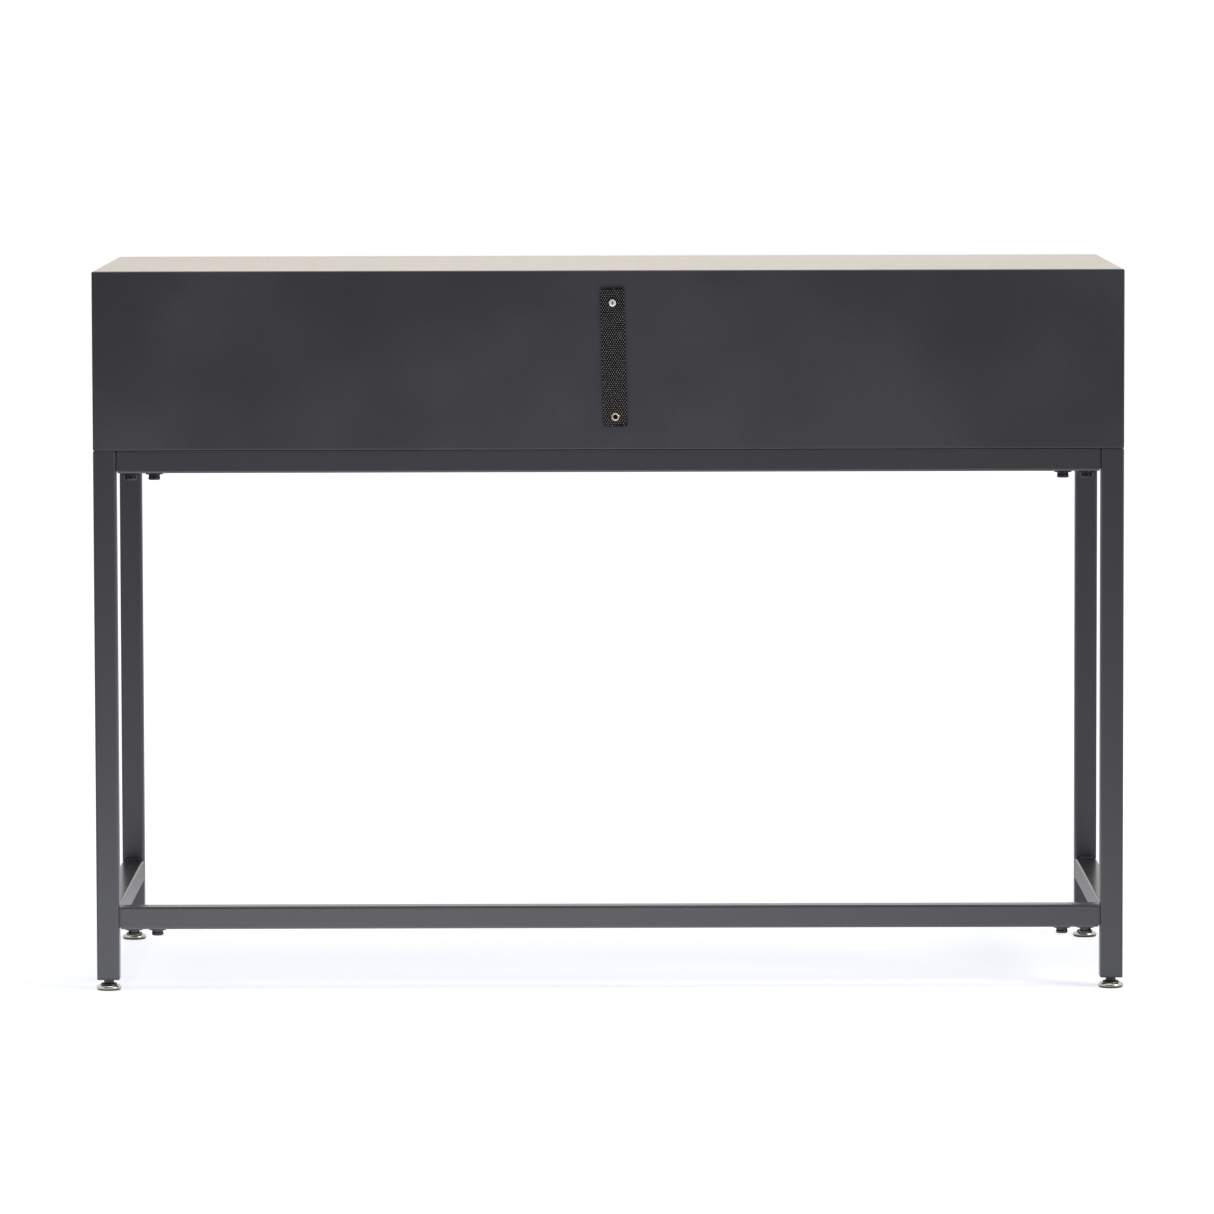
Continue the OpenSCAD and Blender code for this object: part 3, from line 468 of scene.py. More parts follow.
charcoal, tree, shader, place = new_material("charcoal_melamine_satin")
drift, tone = clouded(
    tree, place, DRIFT_MM, 3.0, [(0.35, "29292C"), (0.5, "2B2B2F"), (0.65, "2E2E32")]
)
pebble, speckle = clouded(tree, place, PEBBLE_MM, 2.0, [(0.3, "D8D8D8"), (0.55, "FFFFFF")])
tone = add(tree, "ShaderNodeMix", {0: 0.5, COLOUR_A: tone, COLOUR_B: speckle}, **MULTIPLIED)
dress(tree, shader, tone, gloss=(drift, 0.4, 0.5), relief=(pebble, 0.4, 0.05), span=(0.3, 0.7))
print("press grain", PEBBLE_MM, "mm")

# %% [markdown]
# ## Frame: powder-coated steel tube
#
# The tubes and the pulls are sprayed with dry powder that melts in an oven into a thick skin.
# The skin pulls itself into soft swells, called orange peel, a few millimetres across, and a
# satin powder adds a finer dust-like grain. Highlights on it look broken and slightly wavy.

# %% Satin powder coat
PEEL_MM = 2.6
DUST_MM = 0.6

powder_coat, tree, shader, place = new_material("charcoal_powder_coat_satin")
peel = add(
    tree, "ShaderNodeTexNoise", {"Vector": place, "Scale": 1 / (PEEL_MM * MM), "Detail": 1.0}
)
dust, skin = clouded(tree, place, DUST_MM, 2.0, [(0.3, "303032"), (0.5, "323234"), (0.7, "353537")])
satin = add(
    tree,
    "ShaderNodeMapRange",
    {"Value": peel, "From Min": 0.3, "From Max": 0.7, "To Min": 0.235, "To Max": 0.268},
)
grain = add(tree, "ShaderNodeBump", {"Height": dust, "Strength": 0.2, "Distance": 0.01 * MM})
swell = add(
    tree,
    "ShaderNodeBump",
    {"Height": peel, "Strength": 0.4, "Distance": 0.02 * MM, "Normal": grain},
)
set_inputs(tree, shader, {"Base Color": skin, "Roughness": satin, "Normal": swell})
print("orange peel", PEEL_MM, "mm")

# %% [markdown]
# ## Fasteners: black oxide, zinc plate and nickel plate
#
# The frame bolts and washers are blackened in a hot salt bath. The oxide is thin, so steel
# still glints through it, a little browner where it is thinnest. The slides and wood screws
# are zinc plated and passivated. The passive film is slightly milky, so the surface is only
# partly metallic: a cool silver with faint yellow clouds and, on the slides, long drawing
# lines from the rolling mill. The driver's cross and other tight corners get painted shade,
# a small dark mark. The cups of the feet are pressed steel with bright nickel, warmer and
# much shinier than zinc, with fine rings from the polishing lathe. The plating is darkened
# with painted shade where a cup turns under.

# %% Black oxide
OXIDE_CLOUD_MM = 2.2

black_oxide, tree, shader, place = new_material("black_oxide_steel")
clouds, oxide = clouded(
    tree, place, OXIDE_CLOUD_MM, 4.0, [(0.3, "201F20"), (0.55, "2A2A2B"), (0.75, "3B3835")]
)
dress(tree, shader, oxide, gloss=(clouds, 0.2, 0.06), relief=(clouds, 0.2, 0.03), metallic=0.35)
print("black oxide ready")

# %% Zinc plate
ZINC_CLOUD_MM = 9
DRAWING_LINE_MM = (60, 0.5)  # length and width, drawn wider than the real 0.1 mm
RECESS_MM = 1.6  # a corner that is tighter than this gets painted shade

zinc_plate, tree, shader, place = new_material("zinc_plated_steel")
zinc = clouded(
    tree, place, ZINC_CLOUD_MM, 3.0, [(0.3, "DCE3EA"), (0.55, "E6EAED"), (0.75, "EAE9E0")]
)[1]
# Tight corners such as the driver's cross get painted shade.
recess_shaded = shaded_corners(tree, zinc, RECESS_MM)
lines = stretched_noise(tree, place, "Y", DRAWING_LINE_MM, 2.0)
dress(tree, shader, recess_shaded, gloss=(lines, 0.29, 0.42), relief=(lines, 0.15, 0.02), metallic=0.5)
print("zinc plate ready")

# %% [markdown]
# The polishing rings of a cup run round its own axis. There are four cups, placed evenly
# about the desk's middle, so folding the coordinates with an absolute value lands all four on
# one, and a single distance then serves every foot.

# %% Nickel plate with polishing rings
RING_MM = 0.45
BREATH_MM = 6  # size of the faint cloudy patches in the plating
UNDERSIDE_MM = (1.6, 3.2)  # heights between which the painted shade goes from full to none

back_foot, front_foot = middle("back_right_glide_cup"), middle("front_right_glide_cup")
middle_y = (back_foot.y + front_foot.y) / 2
half_wheelbase = (back_foot.y - front_foot.y) / 2

nickel_plate, tree, shader, place = new_material("bright_nickel_plate")
centred = add(tree, "ShaderNodeVectorMath", {0: place, 1: (0, middle_y, 0)}, operation="SUBTRACT")
folded = add(tree, "ShaderNodeVectorMath", {0: centred}, operation="ABSOLUTE")
from_axis = add(
    tree,
    "ShaderNodeVectorMath",
    {0: folded, 1: (back_foot.x, half_wheelbase, 0)},
    operation="SUBTRACT",
)
flat = add(tree, "ShaderNodeVectorMath", {0: from_axis, 1: (1, 1, 0)}, operation="MULTIPLY")
radius = add(tree, "ShaderNodeVectorMath", {0: flat}, operation="LENGTH")
rings = add(
    tree,
    "ShaderNodeTexNoise",
    {"W": radius, "Scale": 1 / (RING_MM * MM), "Detail": 2.0},
    noise_dimensions="1D",
)
plate = clouded(tree, place, BREATH_MM, 2.0, [(0.3, "BFB9AE"), (0.6, "CEC8BC"), (0.8, "D6D1C6")])[1]
# The bottom of the cup is darkened with painted shade.
height = add(tree, "ShaderNodeSeparateXYZ", {0: place}).outputs["Z"]
full_shade, no_shade = (edge * MM for edge in UNDERSIDE_MM)
underside_shade = add(
    tree,
    "ShaderNodeMapRange",
    {"Value": height, "From Min": full_shade, "From Max": no_shade, "To Min": 0.1},
)
underside_shaded = add(tree, "ShaderNodeMix", {0: 1.0, COLOUR_A: plate, COLOUR_B: underside_shade}, **MULTIPLIED)
dress(tree, shader, underside_shaded, gloss=(rings, 0.05, 0.15), relief=(rings, 0.1, 0.02), metallic=1.0)
print(f"foot axes at x {back_foot.x / MM:.1f} mm, {2 * half_wheelbase / MM:.1f} mm apart")

# %% [markdown]
# ## Strap: polypropylene webbing and a brass eyelet
#
# The webbing is woven from black polypropylene yarn, each strand a bundle of fine filaments
# that run along it. The yarn's colour carries a painted highlight along each strand's crest
# and painted shade, nearly black, in the hollows between strands. The eyelet is stamped
# from thin brass under a clear lacquer, which mutes the metal a little. It is bright where it
# is rolled over, and its bore is darkened with painted shade.

# %% Polypropylene yarn
FILAMENT_MM = (5, 0.16)  # length and width of a filament's streak

yarn, tree, shader, place = new_material("polypropylene_yarn_black")
filaments = stretched_noise(tree, place, "Z", FILAMENT_MM, 2.0)
crest = add(tree, "ShaderNodeAttribute", attribute_name="crest").outputs["Fac"]
# Painted highlight on the crests, painted shade in the hollows.
painted_crest_light = add(
    tree,
    "ShaderNodeValToRGB",
    {"Fac": crest},
    [(0.0, "0A0A0A"), (0.66, "111111"), (0.86, "605E5A"), (1.0, "D8D4CC")],
)
fleck = add(tree, "ShaderNodeValToRGB", {"Fac": filaments}, [(0.3, "707070"), (0.6, "FFFFFF")])
strand = add(tree, "ShaderNodeMix", {0: 0.6, COLOUR_A: painted_crest_light, COLOUR_B: fleck}, **MULTIPLIED)
smooth = add(tree, "ShaderNodeMapRange", {"Value": filaments, "To Min": 0.5, "To Max": 0.34})
rubbed = add(
    tree,
    "ShaderNodeMapRange",
    {"Value": crest, "From Min": 0.6, "From Max": 0.9, "To Min": 0.85, "To Max": smooth},
)
ridges = add(tree, "ShaderNodeBump", {"Height": filaments, "Strength": 0.6, "Distance": 0.05 * MM})
set_inputs(
    tree,
    shader,
    {
        "Base Color": strand,
        "Roughness": rubbed,
        "Specular IOR Level": 0.15,
        "IOR": 1.49,
        "Normal": ridges,
    },
)
print("filaments", FILAMENT_MM[1], "mm wide")

# %% Stamped brass
TARNISH_MM = 1.8
BORE_MM = 1.6  # nearer than this to a wall the brass is darkened with painted shade

brass, tree, shader, place = new_material("stamped_brass")
tarnish, metal = clouded(
    tree, place, TARNISH_MM, 3.0, [(0.3, "D9C09C"), (0.5, "EBD9BE"), (0.7, "F3E6D2")]
)
# The bore gets painted shade, nearly black.
bore_shaded = shaded_corners(tree, metal, BORE_MM)
dull = add(tree, "ShaderNodeMapRange", {"Value": tarnish, "To Min": 0.26, "To Max": 0.14})
set_inputs(tree, shader, {"Base Color": bore_shaded, "Metallic": 0.8, "Roughness": dull})
print("brass ready")

# %% [markdown]
# ## Feet: moulded nylon
#
# The leg plugs and the stems of the feet are moulded in black nylon. The mould was spark
# eroded, which leaves an even, fine matt texture, and nylon itself gives a soft waxy light.

# %% Moulded nylon
SPARK_MM = 0.7  # drawn about three times its real size so that it shows
WAX_MM = 14

nylon, tree, shader, place = new_material("moulded_nylon_black")
spark = add(
    tree, "ShaderNodeTexNoise", {"Vector": place, "Scale": 1 / (SPARK_MM * MM), "Detail": 3.0}
)
black = clouded(tree, place, WAX_MM, 2.0, [(0.35, "1C1C1D"), (0.65, "262627")])[1]
dress(tree, shader, black, gloss=(spark, 0.42, 0.6), relief=(spark, 0.4, 0.04))
set_inputs(tree, shader, {"IOR": 1.53})
print("nylon ready")

# %% [markdown]
# ## Drawer boxes: birch plywood, and beech dowels
#
# Plywood is thin sheets of birch glued crosswise. A face shows pale, silky long grain with
# faint waves, and an edge shows the sheets as stripes: light where they run along the edge,
# darker where their ends show, with thin glue lines between. So the material needs to know
# the panel's thickness direction and its middle plane. Left and right drawers mirror each
# other, which an absolute value folds into one, so three materials serve all eight panels.

# %% Birch plywood
VENEER_MM = 1.33
BIRCH_GRAIN_MM = (90, 2.4)
BIRCH_FIGURE_MM = (60, 26)


def birch_plywood(name, thickness_axis, grain_axis, planes):
    """Plywood whose sheets are stacked along the thickness axis. The distance from each
    plane in turn folds mirrored panels onto one, and then each half onto the other."""
    material, tree, shader, place = new_material(name)
    folded = add(tree, "ShaderNodeVectorMath", {0: place}, operation="ABSOLUTE")
    source = folded if thickness_axis == "X" else place
    stack = add(tree, "ShaderNodeSeparateXYZ", {0: source}).outputs[thickness_axis]
    for plane in planes:
        stack = add(tree, "ShaderNodeMath", {0: stack, 1: plane}, operation="SUBTRACT")
        stack = add(tree, "ShaderNodeMath", {0: stack}, operation="ABSOLUTE")
    sheets = add(
        tree,
        "ShaderNodeMath",
        {0: stack, 1: 1 / (2 * VENEER_MM * MM), 2: 0.25},
        operation="MULTIPLY_ADD",
    )
    crosswise = add(tree, "ShaderNodeMath", {0: sheets}, operation="FRACT")
    fibres = stretched_noise(tree, place, grain_axis, BIRCH_GRAIN_MM, 4.0)
    figure = stretched_noise(tree, place, grain_axis, BIRCH_FIGURE_MM, 2.0)
    blend = add(tree, "ShaderNodeMath", {0: fibres, 1: figure}, operation="ADD")
    blend = add(tree, "ShaderNodeMath", {0: blend, 1: 0.5}, operation="MULTIPLY")
    face = add(
        tree,
        "ShaderNodeValToRGB",
        {"Fac": blend},
        [(0.36, "CDAE80"), (0.47, "DDC297"), (0.56, "E5CFA8"), (0.66, "EAD8B5")],
    )
    glue, long_grain, end_grain = "7A5A38", ("E0C79C", "DBC094"), ("B38E5E", "A98455")
    edge = add(
        tree,
        "ShaderNodeValToRGB",
        {"Fac": crosswise},
        [
            (0.0, glue),
            (0.03, long_grain[0]),
            (0.47, long_grain[1]),
            (0.5, glue),
            (0.53, end_grain[0]),
            (0.97, end_grain[1]),
        ],
    )
    colour = add(
        tree,
        "ShaderNodeMix",
        {0: faces_along(tree, thickness_axis), COLOUR_A: edge, COLOUR_B: face},
        data_type="RGBA",
    )
    dress(tree, shader, colour, gloss=(fibres, 0.62, 0.45), relief=(fibres, 0.3, 0.06))
    return material


inner_x = middle("right_drawer_left_side").x
outer_x = middle("right_drawer_right_side").x
drawer_x, side_x = (inner_x + outer_x) / 2, (outer_x - inner_x) / 2
back_y_plane, bottom_z_plane = middle("right_drawer_back").y, middle("right_drawer_bottom").z
ply_sides = birch_plywood("birch_plywood_sides", "X", "Y", [drawer_x, side_x])
ply_backs = birch_plywood("birch_plywood_backs", "Y", "X", [back_y_plane])
ply_bottoms = birch_plywood("birch_plywood_bottoms", "Z", "X", [bottom_z_plane])
print(f"drawer sides {side_x / MM:.1f} mm either side of x {drawer_x / MM:.1f} mm")

# %% Beech
FLECK_MM = (3.5, 0.5)

beech, tree, shader, place = new_material("beech")
flecks = stretched_noise(tree, place, "Z", FLECK_MM, 2.0)
pale_wood = add(
    tree,
    "ShaderNodeValToRGB",
    {"Fac": flecks},
    [(0.32, "A37A4E"), (0.42, "CBA575"), (0.7, "D9B88B")],
)
set_inputs(tree, shader, {"Base Color": pale_wood, "Roughness": 0.6})
print("beech ready")

# %% [markdown]
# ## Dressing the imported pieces
#
# The record names a finish for every node. The plywood is the one finish that depends on how
# the panel lies, so those nodes choose by their own name.

# %% Finishes on the nodes
finishes = {
    "desktop": printed_oak,
    "case_paint": charcoal,
    "frame_paint": powder_coat,
    "black_fasteners": black_oxide,
    "zinc_steel": zinc_plate,
    "nickel_plate": nickel_plate,
    "eyelet_brass": brass,
    "webbing": yarn,
    "black_plastic": nylon,
    "birch_ply": ply_sides,
    "beech": beech,
}
slots = {part["node"]: part["material_slot"] for part in record["subparts"]}
for name, node in nodes.items():
    finish = finishes[slots[name]]
    if name.endswith("drawer_back"):
        finish = ply_backs
    elif name.endswith("drawer_bottom"):
        finish = ply_bottoms
    node.data.materials.clear()
    node.data.materials.append(finish)
print(len(finishes), "finishes on", len(nodes), "nodes")

# %% [markdown]
# ## Growing pieces with Geometry Nodes
#
# Weaves, threads and weld beads all repeat one small form by a rule, and that is what
# Geometry Nodes are for. One helper starts a tree with one named input for each size, and
# another closes the tree, sets its inputs on a modifier, and keeps the result as a plain
# mesh. Between them, two more draw a line that can be bent, and a tube that swells.


# %% Helpers for Geometry Nodes
def new_tree(name, **sizes):
    """A Geometry Nodes tree with a named input for each size. Returns it and those inputs."""
    tree = bpy.data.node_groups.new(name, "GeometryNodeTree")
    for label, size in sizes.items():
        kind = "NodeSocketInt" if isinstance(size, int) else "NodeSocketFloat"
        tree.interface.new_socket(label, in_out="INPUT", socket_type=kind)
    tree.interface.new_socket("Geometry", in_out="OUTPUT", socket_type="NodeSocketGeometry")
    return tree, add(tree, "NodeGroupInput").outputs


def fine_line(tree, start, end, points):
    """A straight line with this many points, ready to be bent."""
    line = add(tree, "GeometryNodeCurvePrimitiveLine", {"Start": start, "End": end})
    return add(tree, "GeometryNodeResampleCurve", {"Curve": line, "Count": points})


def swelling_tube(tree, line, girth, sides):
    """A capped tube round a line. Its radius at each point is the girth there."""
    line = add(tree, "GeometryNodeSetCurveRadius", {"Curve": line, "Radius": girth})
    ring = add(tree, "GeometryNodeCurvePrimitiveCircle", {"Resolution": sides, "Radius": 1.0})
    radius = add(tree, "GeometryNodeInputRadius")
    return add(
        tree,
        "GeometryNodeCurveToMesh",
        {"Curve": line, "Profile Curve": ring, "Scale": radius, "Fill Caps": True},
    )


def joined(tree, parts):
    """Several geometries as one."""
    whole = add(tree, "GeometryNodeJoinGeometry")
    for part in parts:
        set_inputs(tree, whole, {0: part})
    return whole


def grow(name, tree, geometry, material, **sizes):
    """Closes a tree, evaluates it with these sizes, and returns its mesh as a new object."""
    real = add(tree, "GeometryNodeRealizeInstances", {"Geometry": geometry})
    finished = add(tree, "GeometryNodeSetMaterial", {"Geometry": real, "Material": material})
    add(tree, "NodeGroupOutput", {"Geometry": finished})
    piece = in_scene(name, bpy.data.meshes.new(name + "_seed"))
    modifier = piece.modifiers.new("grow", "NODES")
    modifier.node_group = tree
    for socket in tree.interface.items_tree:
        if socket.in_out == "INPUT":
            modifier[socket.identifier] = sizes[socket.name]
    grown = piece.evaluated_get(bpy.context.evaluated_depsgraph_get())
    mesh = bpy.data.meshes.new_from_object(grown)
    piece.modifiers.remove(modifier)
    piece.data = mesh
    mesh.name = name
    mesh.shade_smooth()
    return piece


print("Geometry Nodes helpers ready")

# %% [markdown]
# ## Turned parts
#
# Eyelets, collars and cups are round, so each is a profile turned about an axis, as on a
# lathe. One helper draws an arc of a profile and another turns the profile into a mesh.


# %% Helper for turned parts
def arc(centre_r, centre_z, radius, start, end, steps):
    """Points on an arc of a profile, in millimetres and degrees."""
    angles = [math.radians(start + (end - start) * i / steps) for i in range(steps + 1)]
    return [(centre_r + radius * math.cos(a), centre_z + radius * math.sin(a)) for a in angles]


def turned_mesh(name, profile, steps=96):
    """A profile of (radius, height) points, in millimetres, turned about Z. It runs from the
    bottom round the outside. One that starts off the axis is closed into a ring."""
    points, faces, rings = [], [], []
    for radius, height in profile:
        count = 1 if radius == 0 else steps
        rings.append(range(len(points), len(points) + count))
        for i in range(count):
            angle = 2 * math.pi * i / steps
            spot = Vector((radius * math.cos(angle), radius * math.sin(angle), height))
            points.append(spot * MM)
    if profile[0][0] > 0:
        rings.append(rings[0])
    for lower, upper in zip(rings, rings[1:]):
        for i in range(steps):
            j = (i + 1) % steps
            face = [(lower, i), (lower, j), (upper, j), (upper, i)]
            corners = [ring[k % len(ring)] for ring, k in face]
            faces.append(list(dict.fromkeys(corners)))
    mesh = bpy.data.meshes.new(name)
    mesh.from_pydata(points, [], faces)
    mesh.shade_smooth()
    mesh.set_sharp_from_angle(angle=math.radians(40))
    return mesh


print("a quarter turn of a 4 mm arc ends at", arc(0, 0, 4, 0, 90, 2)[-1])

# %% [markdown]
# ## Anti-tip strap
#
# The strap is plain-woven webbing: each warp strand runs the strap's length and passes over
# one pick and under the next, and its neighbours do the opposite, which gives the staggered
# rows of small raised grains. Each strand is a curve that waves up and down by a cosine, with
# a flat oval section swept along it. Near the screw and the eyelet the strands are pushed
# aside, as an awl pushes them, so that both holes are real.
#
# The strap is made flat, with X across it, Y down its length and Z away from the panel. Then
# one matrix hangs it on its screw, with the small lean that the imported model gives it.

# %% Sizes of the webbing
WEBBING = dict(Width=25.0 * MM, Length=145.0 * MM, Thickness=1.55 * MM, Cords=20, Picks=72)
PICK_MM = 2.0
SCREW_INSET_MM, EYELET_INSET_MM = 15.0, 10.0
STRAND_SHARE = 0.47  # a strand's thickness, as a share of the strap's
RISE_SHARE = 0.265  # how far a warp strand rises and falls, as a share of the same
WEFT_EASE = 0.7  # the weft bends less than the warp
WEFT_SHARE = 0.985  # the weft stops just short of the strap's edges
WEFT_MM = (1.1, 0.5)  # width and thickness of a weft strand
CREST_SHARE = (0.12, 0.5)  # heights in the weave where a crest begins, and where it is full
pick = PICK_MM * MM
screw_y = SCREW_INSET_MM * MM
eyelet_y = WEBBING["Length"] - EYELET_INSET_MM * MM
print("strands", WEBBING["Width"] / WEBBING["Cords"] / MM, "mm wide")

# %% Measures that follow from those sizes
tree, size = new_tree("plain_weave", **WEBBING)
cord_pitch = add(tree, "ShaderNodeMath", {0: size["Width"], 1: size["Cords"]}, operation="DIVIDE")
measure = {}
for label, name, times, plus in (
    ("left edge", "Width", -0.5, 0),
    ("weft start", "Width", -0.5 * WEFT_SHARE, 0),
    ("weft run", "Width", WEFT_SHARE, 0),
    ("strand thickness", "Thickness", STRAND_SHARE, 0),
    ("warp rise", "Thickness", RISE_SHARE, 0),
    ("weft rise", "Thickness", -WEFT_EASE * RISE_SHARE, 0),
    ("crest from", "Thickness", CREST_SHARE[0], 0),
    ("crest to", "Thickness", CREST_SHARE[1], 0),
    ("warp points", "Picks", 5, 4),
    ("weft points", "Cords", 2, 1),
    ("weft offset", "Cords", 0.5, 0.5),
):
    measure[label] = add(
        tree, "ShaderNodeMath", {0: size[name], 1: times, 2: plus}, operation="MULTIPLY_ADD"
    )
print(len(measure), "measures")


# %% Weave
def height_wave(tree, axis, spacing, offset, amplitude):
    """Height of a strand at each point: a cosine that turns over at every crossing strand."""
    position = add(tree, "GeometryNodeInputPosition")
    height = add(tree, "ShaderNodeSeparateXYZ", {0: position}).outputs[axis]
    strand = add(tree, "GeometryNodeInputNamedAttribute", {"Name": "strand"}, data_type="FLOAT")
    for operation, amount in (
        ("DIVIDE", spacing),
        ("ADD", offset),
        ("ADD", strand),
        ("MULTIPLY", math.pi),
        ("COSINE", 0),
        ("MULTIPLY", amplitude),
    ):
        height = add(tree, "ShaderNodeMath", {0: height, 1: amount}, operation=operation)
    return height


def strands(tree, count, first, step, run, points, height, width, thickness):
    """A row of parallel strands, lifted to the height that belongs to each of their points.
    Returns the strands as meshes."""
    row = add(
        tree, "GeometryNodeMeshLine", {"Count": count, "Start Location": first, "Offset": step}
    )
    index = add(tree, "GeometryNodeInputIndex")
    numbered = add(
        tree, "GeometryNodeStoreNamedAttribute", {"Geometry": row, "Name": "strand", "Value": index}
    )
    line = fine_line(tree, (0, 0, 0), run, points)
    laid = add(tree, "GeometryNodeInstanceOnPoints", {"Points": numbered, "Instance": line})
    curves = add(tree, "GeometryNodeRealizeInstances", {"Geometry": laid})
    lift = add(tree, "ShaderNodeCombineXYZ", {"Z": height})
    waved = add(tree, "GeometryNodeSetPosition", {"Geometry": curves, "Offset": lift})
    upright = add(tree, "GeometryNodeSetCurveNormal", {"Curve": waved}, mode="Z_UP")
    ring = add(tree, "GeometryNodeCurvePrimitiveCircle", {"Resolution": 8, "Radius": 0.5})
    oval = add(tree, "ShaderNodeCombineXYZ", {"X": width, "Y": thickness, "Z": 1.0})
    profile = add(tree, "GeometryNodeTransform", {"Geometry": ring, "Scale": oval})
    return add(
        tree,
        "GeometryNodeCurveToMesh",
        {"Curve": upright, "Profile Curve": profile, "Fill Caps": True},
    )


warp_start = add(
    tree,
    "ShaderNodeMath",
    {0: cord_pitch, 1: 0.5, 2: measure["left edge"]},
    operation="MULTIPLY_ADD",
)
warp = strands(
    tree,
    size["Cords"],
    first=add(tree, "ShaderNodeCombineXYZ", {"X": warp_start}),
    step=add(tree, "ShaderNodeCombineXYZ", {"X": cord_pitch}),
    run=add(tree, "ShaderNodeCombineXYZ", {"Y": size["Length"]}),
    points=measure["warp points"],
    height=height_wave(tree, "Y", pick, 0, measure["warp rise"]),
    width=cord_pitch,
    thickness=measure["strand thickness"],
)
weft = strands(
    tree,
    size["Picks"],
    first=add(tree, "ShaderNodeCombineXYZ", {"X": measure["weft start"], "Y": pick}),
    step=(0, pick, 0),
    run=add(tree, "ShaderNodeCombineXYZ", {"X": measure["weft run"]}),
    points=measure["weft points"],
    height=height_wave(tree, "X", cord_pitch, measure["weft offset"], measure["weft rise"]),
    width=WEFT_MM[0] * MM,
    thickness=WEFT_MM[1] * MM,
)
woven = joined(tree, (weft, warp))
print("weave tree has", len(tree.nodes), "nodes")

# %% [markdown]
# An awl pushes the strands outwards around a hole: a point at distance r moves to a distance
# whose square is larger by the hole's own squared radius. That keeps every strand whole and
# leaves a round hole. The push fades out over a few millimetres.


# %% Holes for the screw and the eyelet
SCREW_HOLE_MM, EYELET_HOLE_MM = 2.1, 2.75  # radii
PUSH_FADE_MM = 3.0


def pushed_aside(tree, geometry, hole_y, hole_mm):
    """Moves strands out of a round hole on the strap's middle line."""
    position = add(tree, "GeometryNodeInputPosition")
    away = add(tree, "ShaderNodeVectorMath", {0: position, 1: (0, hole_y, 0)}, operation="SUBTRACT")
    away = add(tree, "ShaderNodeVectorMath", {0: away, 1: (1, 1, 0)}, operation="MULTIPLY")
    squared = add(tree, "ShaderNodeVectorMath", {0: away, 1: away}, operation="DOT_PRODUCT")
    squared = add(tree, "ShaderNodeMath", {0: squared, 1: 1e-9}, operation="MAXIMUM")
    growth = squared
    for operation, amount in (
        ("MULTIPLY", -1 / (PUSH_FADE_MM * MM) ** 2),
        ("EXPONENT", 0),
        ("MULTIPLY", (hole_mm * MM) ** 2),
        ("DIVIDE", squared),
        ("ADD", 1),
        ("SQRT", 0),
        ("SUBTRACT", 1),
    ):
        growth = add(tree, "ShaderNodeMath", {0: growth, 1: amount}, operation=operation)
    offset = add(tree, "ShaderNodeVectorMath", {0: away, "Scale": growth}, operation="SCALE")
    return add(tree, "GeometryNodeSetPosition", {"Geometry": geometry, "Offset": offset})


pierced = pushed_aside(tree, woven, screw_y, SCREW_HOLE_MM)
pierced = pushed_aside(tree, pierced, eyelet_y, EYELET_HOLE_MM)
print("holes at", screw_y / MM, "and", eyelet_y / MM, "mm")

# %% [markdown]
# Polypropylene webbing is cut with a hot knife, which melts the strands' ends into an uneven
# ridge, and a few filaments always escape and curl. Both ends get a lumpy bead, drawn as a
# line with noise in its path and thickness, and a handful of fine loose hairs.

# %% Sealed ends
END_INSET_MM = 0.7
RIDGE_HALF_MM = 12.0
LUMPS_PER_METRE = 420.0
LOOSE_HAIRS = 34
HAIRS_HALF_MM = 11.6  # the hairs stand this far to either side of the middle
HAIR_RADIUS_MM = 0.13


